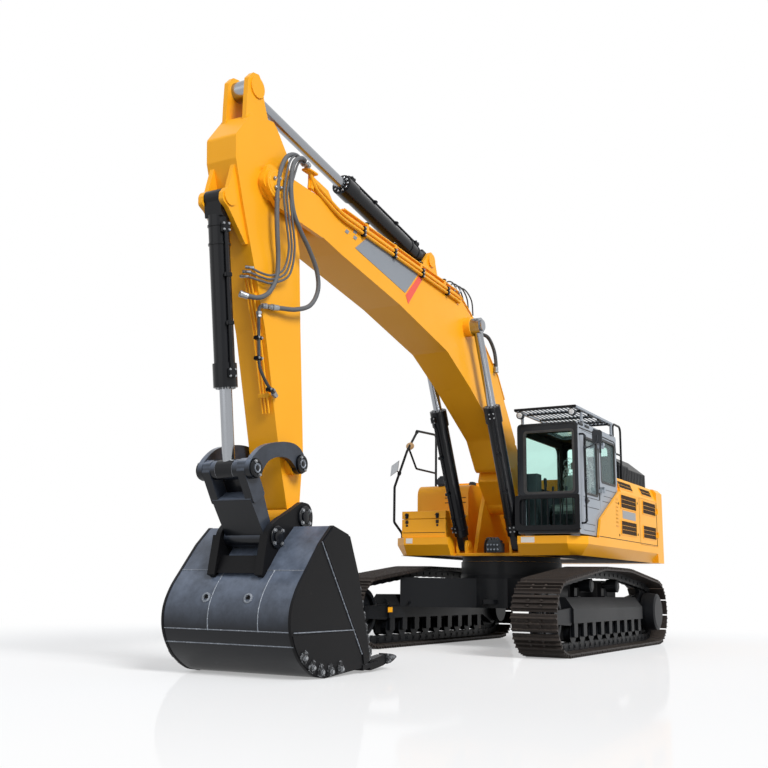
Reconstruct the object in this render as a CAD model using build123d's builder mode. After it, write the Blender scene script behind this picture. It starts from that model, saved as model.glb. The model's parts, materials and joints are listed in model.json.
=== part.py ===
"""Crawler excavator of the 50 t class, as separate sub-parts.

Millimetres. +X is forward, +Y is the cab side, +Z is up and z = 0 is the ground.
Outlines are drawn from the slewing axis, which stands at x = slew_x in the part's frame.
"""
from build123d import *
import os
from math import atan2, cos, degrees, hypot, pi, radians, sin

os.makedirs("parts", exist_ok=True)

# ---------------------------------------------------------------- driving dimensions
slew_x = -1850            # slewing axis, from the middle of the machine's length
pin_gap = 0.3             # side gap between an eye and its ears
panel_gap = 6             # gap round doors and lids
weld_overlap = 2          # how far a plate runs into the plate that it is welded to

# undercarriage
gauge = 2740              # between the middles of the two tracks
shoe_width = 600
shoe_count = 52
wheelbase = 4420          # idler to sprocket
idler_pin_radius = 385    # chain pins round the idler
sprocket_pin_radius = 400
carrier_reach = 620       # carrier rollers, fore and aft of the slewing axis
carrier_radius = 95
carrier_height = 900
rail_depth = 60           # from the chain pins to the rail that rollers run on
shoe_seat = 52            # from the chain pins to the shoe's inner face
shoe_plate = 20
grouser_height = 33
grouser_root = 34
grouser_pitch = 70
rail_thickness = 46
rail_spread = 160         # outer width of the chain's two rails
roller_radius = 105
roller_count = 9
roller_spacing = 380
frame_height = 330        # track frame, above its rollers
frame_width = 330
carbody_height = 420

# upper structure
deck_bottom = 1305
deck_top = 1570
deck_half = 1506
deck_front = 1100
deck_plate = 40
bay_half = 545            # open bay between the two side decks
tail_radius = 3660
weight_front = -2900      # front face of the counterweight
weight_top = 2560
hood_top = 2560
hood_front = -790
panel_top = 2330          # where the side panels turn in towards the hood

# cab
cab_front = 1090
cab_rear = -740
cab_outer = deck_half - 44
cab_inner = cab_outer - 902   # wall next to the boom
cab_top = 3170
cab_wall = 45

# attachment: pins as (x, z) from the slewing axis, lengths between pins, angles at rest
boom_foot = Vector(150, 2150)
boom_length = 7132
boom_angle = 21.75
arm_length = 3352
arm_angle = -101.05
boom_half = 260
arm_half = 180
ear_outer = 310           # outer faces of the bucket's ears and of the rockers
ear_plate = 60
bucket_half = 750
bucket_plate = 28


def polar(length, angle):
    return Vector(length * cos(radians(angle)), length * sin(radians(angle)))


boom_tip = boom_foot + polar(boom_length, boom_angle)
arm_tip = boom_tip + polar(arm_length, arm_angle)


def on_link(origin, angle, u, v):
    """A point u along a link and v to its left, as (x, z)."""
    return origin + polar(u, angle) + polar(v, angle + 90)


arm_rod_pin = on_link(boom_tip, arm_angle, -1004, 10)
bucket_base_pin = on_link(boom_tip, arm_angle, 201, 603)
rocker_pin = on_link(boom_tip, arm_angle, arm_length - 525, -20)
rocker_end = rocker_pin + Vector(747, -123)
bucket_link_pin = arm_tip + Vector(455, -220)
boom_rod_pin = on_link(boom_foot, boom_angle, 2713, 1334)
boom_base_pin = Vector(813, 1450)
arm_base_pin = on_link(boom_foot, boom_angle, 3794, 1684)


def side(y=0):
    """Upright plane along the machine, drawn as (x, z) from the slewing axis."""
    return Plane(origin=(slew_x, y, 0), x_dir=(1, 0, 0), z_dir=(0, -1, 0))


def link_plane(pin, angle=0.0, y=0):
    """Upright plane with its origin on a pin and its x along the link."""
    ca, sa = cos(radians(angle)), sin(radians(angle))
    return Plane(origin=(slew_x + pin.X, y, pin.Y), x_dir=(ca, 0, sa), z_dir=(0, -1, 0))


def top(z):
    """Level plane, drawn as (x, y) from the slewing axis."""
    return Plane(origin=(slew_x, 0, z), x_dir=(1, 0, 0), z_dir=(0, 0, 1))


def front(x):
    """Upright plane across the machine, drawn as (y, z)."""
    return Plane(origin=(slew_x + x, 0, 0), x_dir=(0, 1, 0), z_dir=(1, 0, 0))


def outline(plane, points, radius, depth, both=True, mode=Mode.ADD):
    """Extrude a closed outline with rounded corners."""
    with BuildSketch(plane) as sketch:
        with BuildLine():
            FilletPolyline(*points, radius=radius, close=True)
        make_face()
    extrude(sketch.sketch, amount=depth, both=both, mode=mode)


def disc(plane, radius, depth, both=True, mode=Mode.ADD):
    with BuildSketch(plane) as sketch:
        Circle(radius)
    extrude(sketch.sketch, amount=depth, both=both, mode=mode)


def slab(x0, x1, y0, y1, z0, z1, mode=Mode.ADD):
    """A block between two corners."""
    with BuildSketch(top(z0)) as sketch:
        with Locations(((x0 + x1) / 2, (y0 + y1) / 2)):
            Rectangle(abs(x1 - x0), abs(y1 - y0))
    extrude(sketch.sketch, amount=z1 - z0, mode=mode)


def save(part, name):
    part.part.label = name
    export_step(part.part, f"parts/{name}.step")


# ---------------------------------------------------------------- undercarriage
grouser_reach = shoe_seat + shoe_plate + grouser_height
idler_z = grouser_reach + idler_pin_radius
sprocket_z = grouser_reach + sprocket_pin_radius
track_rail_z = grouser_reach + rail_depth
roller_z = track_rail_z + roller_radius

# circles that the chain's pins run round, counter-clockwise seen from the right: x, z, radius
chain_circles = (
    (wheelbase / 2, idler_z, idler_pin_radius),
    (carrier_reach, carrier_height, carrier_radius + rail_depth),
    (-carrier_reach, carrier_height, carrier_radius + rail_depth),
    (-wheelbase / 2, sprocket_z, sprocket_pin_radius),
)


def belt(offset=0.0):
    """Runs and arcs of a belt round the circles: (start, end, centre, radius, a0, a1)."""
    tangents = []
    for i, (x0, z0, r0) in enumerate(chain_circles):
        x1, z1, r1 = chain_circles[(i + 1) % len(chain_circles)]
        span = hypot(x1 - x0, z1 - z0)
        lean = degrees(atan2(z1 - z0, x1 - x0)) - degrees(atan2(r1 - r0, span))
        tangents.append(lean - 90)
    pieces = []
    for i, (x, z, r) in enumerate(chain_circles):
        a0 = tangents[i - 1]
        a1 = tangents[i]
        while a1 < a0:
            a1 += 360
        nx, nz, nr = chain_circles[(i + 1) % len(chain_circles)]
        centre = Vector(x, z)
        pieces.append((centre, r + offset, a0, a1, Vector(nx, nz) + polar(nr + offset, a1)))
    return pieces


def belt_line(offset):
    with BuildLine() as line:
        for centre, radius, a0, a1, landing in belt(offset):
            CenterArc((centre.X, centre.Y), radius, a0, a1 - a0)
            Line(centre + polar(radius, a1), landing)
    return line.line


def belt_points(count):
    """Points at even steps along the pins' line."""
    spans = []
    for centre, radius, a0, a1, landing in belt():
        spans.append(("arc", centre, radius, a0, radians(a1 - a0) * radius))
        leave = centre + polar(radius, a1)
        spans.append(("line", leave, landing, 0, (landing - leave).length))
    total = sum(span[4] for span in spans)
    points = []
    for i in range(count):
        s = total * i / count
        for kind, p, q, a0, length in spans:
            if s <= length:
                break
            s -= length
        if kind == "arc":
            points.append(p + polar(q, a0 + degrees(s / q)))
        else:
            points.append(p + (q - p) * (s / length))
    return points


def shoe_outline():
    """Outer outline of the track: every shoe with its three grousers."""
    pins = belt_points(shoe_count)
    points = []
    for i, pin in enumerate(pins):
        following = pins[(i + 1) % shoe_count]
        along = (following - pin).normalized()
        out = Vector(along.Y, -along.X)
        middle = (pin + following) * 0.5 + out * (shoe_seat + shoe_plate)
        for k in (-1, 0, 1):
            rib = middle + along * (k * grouser_pitch)
            points.append(rib - along * (grouser_root / 2))
            points.append(rib + out * grouser_height)
            points.append(rib + along * (grouser_root / 2))
    return points


sides = (("left", 1), ("right", -1))

for name, s in sides:
    middle = s * gauge / 2
    with BuildPart() as track:
        with BuildSketch(side(middle)):
            with BuildLine():
                Polyline(*shoe_outline(), close=True)
            make_face()
            make_face(belt_line(shoe_seat), mode=Mode.SUBTRACT)
        extrude(amount=shoe_width / 2, both=True)
        for e in (-1, 1):
            rail_middle = middle + e * (rail_spread - rail_thickness) / 2
            with BuildSketch(side(rail_middle)):
                make_face(belt_line(shoe_seat + weld_overlap))
                make_face(belt_line(-rail_depth), mode=Mode.SUBTRACT)
            extrude(amount=rail_thickness / 2, both=True)
    save(track, f"track_{name}")


def turned(x, y, z, profile):
    """Revolve a profile of (radius, offset) about a cross axis at (x, y, z)."""
    centre = (slew_x + x, y, z)
    plane = Plane(origin=centre, x_dir=(0, 0, 1), z_dir=(1, 0, 0))
    with BuildSketch(plane) as sketch:
        with BuildLine():
            Polyline(*profile, close=True)
        make_face()
    revolve(sketch.sketch, axis=Axis(centre, (0, 1, 0)))


def rail(points, radius, bend):
    """A round tube bent along a path of points from the slewing axis."""
    path_points = [(slew_x + x, y, z) for x, y, z in points]
    with BuildLine() as path:
        if bend:
            FilletPolyline(*path_points, radius=bend)
        else:
            Polyline(*path_points)
    with BuildSketch(path.line ^ 0) as section:
        Circle(radius)
    sweep(section.sketch, path=path.line)


roller_fit = 1            # between rollers and rails
idler_tread = idler_pin_radius - rail_depth - roller_fit
rail_gap = rail_spread - 2 * rail_thickness
tongue = rail_gap / 2 - 4
tread_half = rail_spread / 2 + 5
frame_bottom = roller_z + roller_radius + 32
frame_top = frame_bottom + frame_height
axle_radius = 48
yoke_gap = 6
yoke_plate = 45
teeth = round(2 * pi * sprocket_pin_radius / (2 * pi * idler_pin_radius / 11.3))

for name, s in sides:
    middle = s * gauge / 2

    with BuildPart() as idler:
        turned(wheelbase / 2, middle, idler_z, (
            (axle_radius, -tread_half), (150, -tread_half), (150, -30),
            (idler_tread - 60, -30), (idler_tread - 60, -tread_half),
            (idler_tread, -tread_half), (idler_tread, -tongue),
            (idler_tread + 45, -tongue + 8), (idler_tread + 45, tongue - 8),
            (idler_tread, tongue), (idler_tread, tread_half),
            (idler_tread - 60, tread_half), (idler_tread - 60, 30),
            (150, 30), (150, tread_half), (axle_radius, tread_half)))
    save(idler, f"idler_{name}")

    with BuildPart() as sprocket:
        with BuildSketch(link_plane(Vector(-wheelbase / 2, sprocket_z), 0, middle)):
            Circle(sprocket_pin_radius - 45)
            with PolarLocations(sprocket_pin_radius - 20, teeth):
                Trapezoid(80, 95, 72, rotation=-90)
        extrude(amount=tongue, both=True)
        turned(-wheelbase / 2, middle, sprocket_z, (
            (0, s * 55), (200, s * 55), (210, s * -30), (300, s * -60), (300, s * -130), (285, s * -262),
            (240, s * -280), (0, s * -280)))
    save(sprocket, f"final_drive_{name}")

    with BuildPart() as rollers:
        for i in range(roller_count):
            x = (i - (roller_count - 1) / 2) * roller_spacing
            turned(x, middle, roller_z + roller_fit, (
                (0, -150), (axle_radius, -150), (axle_radius, -105), (roller_radius + 20, -105),
                (roller_radius, -84), (roller_radius, 84), (roller_radius + 20, 105),
                (axle_radius, 105), (axle_radius, 150), (0, 150)))
            for e in (-1, 1):
                slab(x - 70, x + 70, middle + e * 118, middle + e * 150,
                     roller_z - 40, frame_bottom)
    save(rollers, f"bottom_rollers_{name}")

    with BuildPart() as carriers:
        for x in (-carrier_reach, carrier_reach):
            turned(x, middle, carrier_height, (
                (0, s * 152), (40, s * 152), (40, s * 80), (carrier_radius - roller_fit, s * 80),
                (carrier_radius - roller_fit, s * -80), (60, s * -95), (0, s * -95)))
    save(carriers, f"carrier_rollers_{name}")

    with BuildPart() as frame:
        half = frame_width / 2
        with BuildSketch(front(-1650)):
            with BuildLine():
                Polyline((middle - half, frame_bottom), (middle + half, frame_bottom),
                         (middle + half, frame_top - 150), (middle + half - 110, frame_top),
                         (middle - half + 110, frame_top), (middle - half, frame_top - 150),
                         close=True)
            make_face()
        extrude(amount=3300)
        slab(-1600, 1560, middle - half + 30, middle + half - 30,
             frame_bottom + 30, frame_top - 190, mode=Mode.SUBTRACT)
        for e in (-1, 1):
            inner = tread_half + yoke_gap
            yoke = middle + e * (inner + yoke_plate / 2)
            outline(side(yoke), ((1480, frame_bottom), (1640, frame_bottom),
                                 (1700, idler_z - 110), (2300, idler_z - 80),
                                 (2300, idler_z + 80), (1500, idler_z + 120)),
                    30, yoke_plate / 2)
        disc(link_plane(Vector(wheelbase / 2, idler_z), 0, middle), axle_radius - roller_fit,
             tread_half + yoke_gap + yoke_plate)
        inner_face = middle - s * 100
        outline(side(inner_face), ((-1660, frame_bottom + 10), (-2100, sprocket_z - 260),
                                   (-2440, sprocket_z - 120), (-2440, sprocket_z + 120),
                                   (-2100, sprocket_z + 270), (-1560, frame_top - 20)),
                60, 45)
        disc(link_plane(Vector(-wheelbase / 2, sprocket_z), 0, middle - s * 200), 220, 60)
        for x in (-carrier_reach, carrier_reach):
            slab(x - 60, x + 60, middle - s * 152, middle - s * 212, frame_bottom + 150,
                 carrier_height + 50)
            slab(x - 60, x + 60, middle - s * 152, middle - s * 100, frame_top - 200,
                 carrier_height - 150)
    save(frame, f"track_frame_{name}")

# carbody: a drum with four legs, a flat X seen from above, the ring seat on top
carbody_bottom = 560
carbody_top = carbody_bottom + carbody_height
leg_reach = 1120
leg_width = 420
leg_end = gauge / 2 - frame_width / 2
bearing_radius = 760
carbody_radius = bearing_radius + 30
bearing_top = 1228
bearing_gap = 0.3
eye_plate = 60            # towing and lifting eyes
tow_bore = 36
tow_reach = 840           # towing eyes, from the slewing axis
lift_bore = 34

with BuildPart() as legs:
    with BuildSketch(top(carbody_bottom)):
        for sx in (-1, 1):
            for sy in (-1, 1):
                with BuildLine():
                    Polyline((sx * 120, sy * 560), (sx * 640, sy * 60),
                             (sx * (leg_reach + leg_width / 2), sy * leg_end),
                             (sx * (leg_reach - leg_width / 2), sy * leg_end), close=True)
                make_face()
        Circle(carbody_radius, mode=Mode.SUBTRACT)
    extrude(amount=carbody_height)
save(legs, "carbody_legs")

with BuildPart() as carbody:
    with BuildSketch(top(carbody_bottom)):
        Circle(carbody_radius)
    extrude(amount=carbody_height)
    with BuildSketch(top(carbody_bottom + 30)):
        Circle(bearing_radius - 60)
    extrude(amount=carbody_height - 60, mode=Mode.SUBTRACT)
    with BuildSketch(top(carbody_top)):
        Circle(bearing_radius - 30)
    extrude(amount=60)
    with BuildSketch(top(carbody_bottom - 1)):
        Circle(240)
    extrude(amount=carbody_height + 62, mode=Mode.SUBTRACT)
    for s in (-1, 1):
        with BuildSketch(top(carbody_bottom + 60)):
            with Locations((s * (tow_reach - 15), 0)):
                RectangleRounded(210, 200, 50)
            with Locations((s * tow_reach, 0)):
                Circle(tow_bore, mode=Mode.SUBTRACT)
        extrude(amount=eye_plate)
save(carbody, "carbody")

with BuildPart() as bearing:
    with BuildSketch(top(carbody_top + 60)):
        Circle(bearing_radius)
        Circle(bearing_radius - 140, mode=Mode.SUBTRACT)
    extrude(amount=bearing_top - carbody_top - 60)
save(bearing, "slew_bearing")

# ---------------------------------------------------------------- revolving frame
bay_front = 870
bracket_plate = 60
cylinder_half = 420
barrel_eye_half = 50
rod_eye_half = 65
deck_chamfer = 230

with BuildPart() as deck:
    with BuildSketch(top(deck_bottom)):
        with BuildLine():
            Polyline((bay_front, -bay_half), (deck_front, -bay_half),
                     (deck_front, -deck_half + deck_chamfer), (deck_front - deck_chamfer, -deck_half),
                     (weight_front, -deck_half), (weight_front, deck_half),
                     (deck_front - deck_chamfer, deck_half), (deck_front, deck_half - deck_chamfer),
                     (deck_front, bay_half), (bay_front, bay_half), close=True)
        make_face()
    extrude(amount=deck_plate)
    for s in (-1, 1):
        with BuildSketch(top(deck_bottom + deck_plate)):
            with BuildLine():
                Polyline((deck_front, s * bay_half), (deck_front, s * (deck_half - deck_chamfer)),
                         (deck_front - deck_chamfer, s * deck_half), (weight_front, s * deck_half),
                         (weight_front, s * bay_half), close=True)
            make_face()
        extrude(amount=deck_top - deck_bottom - deck_plate)
        slab(weight_front + 40, deck_front - deck_chamfer - 60, s * (bay_half + 40),
             s * (deck_half - 40), deck_bottom + deck_plate, deck_top - 30, mode=Mode.SUBTRACT)
    for s in (-1, 1):
        inner = boom_half + pin_gap
        plate = s * (inner + bracket_plate / 2)
        x, z = boom_foot.X, boom_foot.Y
        outline(side(plate), ((x - 900, deck_bottom + 20), (x + 560, deck_bottom + 20),
                              (x + 330, z - 180), (x + 170, z + 170), (x - 170, z + 170),
                              (x - 330, z - 200)), 60, bracket_plate / 2)
        disc(link_plane(boom_foot, 0, s * (inner + bracket_plate)), 135, 22)
        x, z = boom_base_pin.X, boom_base_pin.Y
        for e in (-1, 1):
            plate = s * cylinder_half + e * (barrel_eye_half + pin_gap + 18)
            outline(side(plate), ((x - 210, deck_bottom + 5), (x + 60, deck_bottom + 5),
                                  (x + 80, z - 20), (x + 60, z + 80), (x - 60, z + 80),
                                  (x - 110, z + 20)), 25, 18)
        disc(link_plane(boom_base_pin, 0, s * cylinder_half), 42, barrel_eye_half + pin_gap + 48)
        disc(link_plane(boom_base_pin, 0, s * cylinder_half), 60, barrel_eye_half + pin_gap,
             mode=Mode.SUBTRACT)
    with BuildSketch(top(bearing_top + bearing_gap)):
        Circle(bearing_radius - 20)
    extrude(amount=deck_bottom - bearing_top - bearing_gap)
save(deck, "revolving_frame")

lift_reach = 760          # lifting eyes, from the middle


def knuckle(plane, start, end, leaf, mode=Mode.ADD):
    """Hinge knuckle round a plane's normal from start to end, with its flat leaf."""
    with BuildSketch(plane.offset(start)) as section:
        Circle(knuckle_radius)
        with BuildLine():
            Polyline(*leaf, close=True)
        make_face()
    extrude(section.sketch, amount=end - start, mode=mode)


knuckle_radius = 14
knuckle_reach = 20        # from a door's face out to its hinge pin
knuckle_leaf = ((-6, -knuckle_reach - 2), (90, -knuckle_reach - 2), (90, -knuckle_reach + 12),
                (-6, -knuckle_reach + 12))
door_hinges = (1750, 2150)


def door_pin(s):
    """Plane at an engine door's hinge pin, x along the door and y out from it."""
    return Plane(origin=(slew_x + weight_front + 40, s * (deck_half + knuckle_reach), 0),
                 x_dir=(1, 0, 0), z_dir=(0, 0, s))


with BuildPart() as weight:
    edge_x = -(tail_radius ** 2 - deck_half ** 2) ** 0.5
    with BuildSketch(top(deck_bottom)) as plan:
        with BuildLine():
            Polyline((edge_x, deck_half), (weight_front, deck_half), (weight_front, -deck_half),
                     (edge_x, -deck_half))
            ThreePointArc((edge_x, -deck_half), (-tail_radius, 0), (edge_x, deck_half))
        make_face()
        fillet(plan.vertices().group_by(Axis.X)[0], 110)
    extrude(amount=weight_top - deck_bottom)
    chamfer(weight.faces().sort_by(Axis.Z)[-1].edges().filter_by(GeomType.CIRCLE), 60)
    slab(weight_front - 60, weight_front - 420, -1280, 1280, deck_bottom + 60, weight_top - 80,
         mode=Mode.SUBTRACT)
    for s in (-1, 1):
        outline(side(s * lift_reach), ((-3420, weight_top - 20), (-3120, weight_top - 20),
                                       (-3200, weight_top + 120), (-3340, weight_top + 120)),
                35, eye_plate / 2)
        disc(link_plane(Vector(-3270, weight_top + 55), 0, s * lift_reach), lift_bore, eye_plate,
             mode=Mode.SUBTRACT)
    for s in (-1, 1):
        for z in door_hinges:
            knuckle(door_pin(s), s * z + 30.3, s * z + 70,
                    ((-120, -knuckle_reach - 2), (-8, -knuckle_reach - 2), (-8, -knuckle_reach + 12),
                     (-120, -knuckle_reach + 12)))
save(weight, "counterweight")

with BuildPart() as engine:
    slab(-2650, -1450, -430, 430, deck_bottom + deck_plate, 2230)
save(engine, "engine_block")

# engine housing: fixed hood with turned-in shoulders, a hinged lid and two hinged side doors
panel_plate = 34
panel_nose = 380          # front tip of the left side panel, which stands beside the cab
hood_shoulder = 1410
door_front = -1850
grille_depth = 14
grille_slats = 5
grille_levels = ((1690, 1885), (2090, 2285))
door_rear = weight_front + 40
hood_pin = Plane(origin=(slew_x + weight_front + 120, 0, hood_top + knuckle_reach),
                 x_dir=(1, 0, 0), z_dir=(0, -1, 0))
lid_half = 620
lid_front = -1500
lid_rear = weight_front + 120



def grilles(s, x0, x1):
    """Louvres let into a side plate at both levels: a pocket with level slats."""
    pocket = s * (deck_half - grille_depth)
    for z0, z1 in grille_levels:
        slab(x0, x1, pocket, s * (deck_half + 1), z0, z1, mode=Mode.SUBTRACT)
        pitch = (z1 - z0) / grille_slats
        for i in range(1, grille_slats):
            slab(x0, x1, pocket, s * (deck_half - 2), z0 + i * pitch - 5, z0 + i * pitch + 5)


with BuildPart() as hood:
    with BuildSketch(front(hood_front)):
        with BuildLine():
            Polyline((-deck_half, panel_top), (-hood_shoulder, hood_top), (hood_shoulder, hood_top),
                     (deck_half, panel_top), (deck_half - panel_plate, panel_top),
                     (hood_shoulder - 12, hood_top - panel_plate),
                     (-hood_shoulder + 12, hood_top - panel_plate),
                     (-deck_half + panel_plate, panel_top), close=True)
        make_face()
    extrude(amount=weight_front - hood_front)
    slab(lid_rear - panel_gap, lid_front + panel_gap, -lid_half - panel_gap, lid_half + panel_gap,
         hood_top - 60, hood_top + 10, mode=Mode.SUBTRACT)
    with BuildSketch(front(hood_front)):
        with BuildLine():
            Polyline((-deck_half + panel_plate, deck_top), (deck_half - panel_plate, deck_top),
                     (deck_half - panel_plate, panel_top), (hood_shoulder - 10, hood_top - 30),
                     (-hood_shoulder + 10, hood_top - 30), (-deck_half + panel_plate, panel_top),
                     close=True)
        make_face()
    extrude(amount=panel_plate)
    for y in (-400, 400):
        knuckle(hood_pin, y + 50.3, y + 100,
                ((-70, -knuckle_reach - 2), (-8, -knuckle_reach - 2), (-8, -knuckle_reach + 12),
                 (-70, -knuckle_reach + 12)))
save(hood, "engine_hood")

with BuildPart() as lid:
    slab(lid_rear, lid_front, -lid_half, lid_half, hood_top - panel_plate, hood_top)
    for y in (-400, 400):
        knuckle(hood_pin, y - 50, y + 50, knuckle_leaf)
save(lid, "hood_lid")

for name, s in sides:
    with BuildPart() as door:
        slab(door_rear, door_front, s * (deck_half - panel_plate), s * deck_half,
             deck_top + panel_gap, panel_top - panel_gap)
        grilles(s, door_rear + 70, door_front - 150)
        for z in door_hinges:
            knuckle(door_pin(s), s * z - 30, s * z + 30, knuckle_leaf)
    save(door, f"engine_door_{name}")

with BuildPart() as panel:
    outline(side(deck_half - panel_plate / 2),
            ((door_front + panel_gap, deck_top), (panel_nose, deck_top),
             (panel_nose, deck_top + 35), (panel_nose - 100, deck_top + 270),
             (panel_nose - 1080, panel_top), (door_front + panel_gap, panel_top)),
            12, panel_plate / 2)
    grilles(1, door_front + 260, hood_front + 40)
save(panel, "side_panel_left")

with BuildPart() as panel:
    outline(side(-deck_half + panel_plate / 2),
            ((door_front + panel_gap, deck_top), (-760, deck_top), (-760, panel_top),
             (door_front + panel_gap, panel_top)), 12, panel_plate / 2)
    grilles(-1, door_front + 260, hood_front - 60)
save(panel, "side_panel_right")

# air filter box behind the cab, and the larger radiator box behind it
filter_rear = -1750
filter_length = 600
filter_rise = 260
radiator_rear = -2880
radiator_length = 1080
radiator_rise = 470
with BuildPart() as boxes:
    slab(filter_rear, filter_rear + filter_length, 850, hood_shoulder - 50, hood_top,
         hood_top + filter_rise)
    with BuildSketch(front(radiator_rear)):
        with BuildLine():
            Polyline((hood_shoulder - 80, hood_top), (hood_shoulder - 80, hood_top + 240),
                     (1050, hood_top + radiator_rise), (lid_half + 40, hood_top + radiator_rise),
                     (lid_half + 40, hood_top), close=True)
        make_face()
    extrude(amount=radiator_length)
save(boxes, "air_boxes")

rail_rear = -1250
rail_top = 3410
rail_middle = 2950
with BuildPart() as rails:
    y = hood_shoulder - 20
    rail(((rail_rear, y, hood_top), (rail_rear, y, rail_top), (hood_front - 50, y, rail_top),
          (hood_front - 50, y, hood_top)), 17, 90)
    rail(((rail_rear, y, rail_middle), (hood_front - 50, y, rail_middle)), 14, 0)
save(rails, "cab_rear_rail")

# ---------------------------------------------------------------- cab
cab_bottom = deck_top + 25
cab_door_front = 930
cab_door_rear = 150
cab_door_bottom = cab_bottom + 60
cab_door_top = cab_top - 120
cab_door_corner = 1965    # where the door's rear edge leans forward, down to its lower step
cab_door_step = (310, 1880)
window_sill = 2170        # bottom of the upper front window
low_window_top = 2110
hinge_reach = 70          # the door's hinge pins stand clear of the side panel
hinge_heights = (2250, 2900)
cab_outline = ((cab_front, cab_bottom), (cab_front, cab_top - 110), (cab_front - 90, cab_top),
               (cab_rear, cab_top), (cab_rear, cab_bottom))


def door_outline(grow=0):
    """Side outline of the cab door, its lower rear corner cut beside the panel's nose."""
    return ((cab_door_front + grow, cab_door_bottom - grow),
            (cab_door_front + grow, cab_door_top + grow),
            (cab_door_rear - grow, cab_door_top + grow),
            (cab_door_rear - grow, cab_door_corner - grow),
            (cab_door_step[0] - grow, cab_door_step[1] - grow),
            (panel_nose + 45 - grow, cab_door_bottom - grow))


with BuildPart() as cab:
    cab_middle = (cab_inner + cab_outer) / 2
    cab_half = (cab_outer - cab_inner) / 2
    with BuildSketch(side(cab_middle)):
        with BuildLine():
            FilletPolyline(*cab_outline, radius=35, close=True)
        make_face()
    extrude(amount=cab_half, both=True)
    with BuildSketch(side(cab_middle)):
        with BuildLine():
            FilletPolyline(*cab_outline, radius=35, close=True)
        make_face()
        offset(amount=-cab_wall)
    extrude(amount=cab_half - cab_wall, both=True, mode=Mode.SUBTRACT)
    outline(side(cab_outer), door_outline(panel_gap), 30, cab_wall + 5, mode=Mode.SUBTRACT)
    # front windows, above and below the sill
    slab(cab_front - 60, cab_front + 10, cab_inner + 110, cab_outer - 70, window_sill, cab_top - 130,
         mode=Mode.SUBTRACT)
    slab(cab_front - 60, cab_front + 10, cab_inner + 110, cab_outer - 70, cab_bottom + 80,
         low_window_top, mode=Mode.SUBTRACT)
    # right window, rear window, rear side window and roof hatch
    slab(-600, cab_front - 110, cab_inner - 10, cab_inner + 60, 2280, cab_top - 130,
         mode=Mode.SUBTRACT)
    slab(cab_rear - 10, cab_rear + 60, cab_inner + 100, cab_outer - 100, 2560, cab_top - 130,
         mode=Mode.SUBTRACT)
    slab(cab_rear + 90, cab_door_rear - 90, cab_outer - 60, cab_outer + 10, 2400, cab_top - 130,
         mode=Mode.SUBTRACT)
    slab(-350, 450, cab_inner + 170, cab_outer - 170, cab_top - 60, cab_top + 10,
         mode=Mode.SUBTRACT)
    with BuildSketch(top(deck_top)):
        with Locations(*((x, y) for x in (cab_rear + 140, cab_front - 140)
                         for y in (cab_inner + 120, cab_outer - 120))):
            Circle(70)
    extrude(amount=cab_bottom - deck_top + weld_overlap)
    for z in hinge_heights:
        with BuildSketch(top(z + 25.3)):
            with Locations((cab_door_rear, cab_outer + hinge_reach)):
                Circle(14)
        extrude(amount=40)
        slab(cab_door_rear - 60, cab_door_rear - 10, cab_outer - 2, cab_outer + hinge_reach + 8,
             z + 25.3, z + 65.3)
save(cab, "cab_body")

glass = 8
with BuildPart() as panes:
    slab(cab_front - 30 - glass, cab_front - 30, cab_inner + 110, cab_outer - 70, window_sill,
         cab_top - 130)
    slab(cab_front - 30 - glass, cab_front - 30, cab_inner + 110, cab_outer - 70,
         cab_bottom + 80, low_window_top)
    slab(-600, cab_front - 110, cab_inner + 20, cab_inner + 20 + glass, 2280, cab_top - 130)
    slab(cab_rear + 20, cab_rear + 20 + glass, cab_inner + 100, cab_outer - 100, 2560,
         cab_top - 130)
    slab(cab_rear + 90, cab_door_rear - 90, cab_outer - 20 - glass, cab_outer - 20, 2400,
         cab_top - 130)
    slab(-350, 450, cab_inner + 170, cab_outer - 170, cab_top - 30, cab_top - 30 + glass)
save(panes, "cab_glass")

with BuildPart() as door:
    outline(side(cab_outer - cab_wall / 2), door_outline(), 24, cab_wall / 2)
    slab(cab_door_rear + 90, cab_door_front - 90, cab_outer - 60, cab_outer + 10, window_sill,
         cab_door_top - 80, mode=Mode.SUBTRACT)
    for z in hinge_heights:
        slab(cab_door_rear + 5, cab_door_rear + 70, cab_outer - 2, cab_outer + hinge_reach - 12,
             z - 25, z + 25)
        with BuildSketch(top(z - 25)):
            with Locations((cab_door_rear, cab_outer + hinge_reach)):
                Circle(14)
        extrude(amount=50)
        slab(cab_door_rear - 4, cab_door_rear + 20, cab_outer + hinge_reach - 14,
             cab_outer + hinge_reach, z - 25, z + 25)
save(door, "cab_door")

with BuildPart() as pane:
    slab(cab_door_rear + 90, cab_door_front - 90, cab_outer - 30, cab_outer - 30 + glass,
         window_sill, cab_door_top - 80)
save(pane, "cab_door_glass")

cab_floor = cab_bottom + cab_wall
with BuildPart() as seat:
    middle = cab_middle
    slab(-140, 330, middle - 200, middle + 200, cab_floor, cab_floor + 260)
    slab(-200, 360, middle - 260, middle + 260, cab_floor + 260, cab_floor + 420)
    outline(side(middle), ((-180, cab_floor + 400), (-60, cab_floor + 400),
                           (-190, cab_floor + 1180), (-310, cab_floor + 1160)), 40, 235)
save(seat, "seat")

with BuildPart() as console:
    middle = cab_middle
    for s in (-1, 1):
        slab(-150, 330, middle + s * 275, middle + s * 375, cab_floor, cab_floor + 560)
        slab(300, 330, middle + s * 310, middle + s * 340, cab_floor + 560, cab_floor + 720)
    slab(780, 960, cab_inner + 80, cab_inner + 240, cab_floor, cab_floor + 820)
save(console, "control_consoles")

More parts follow.
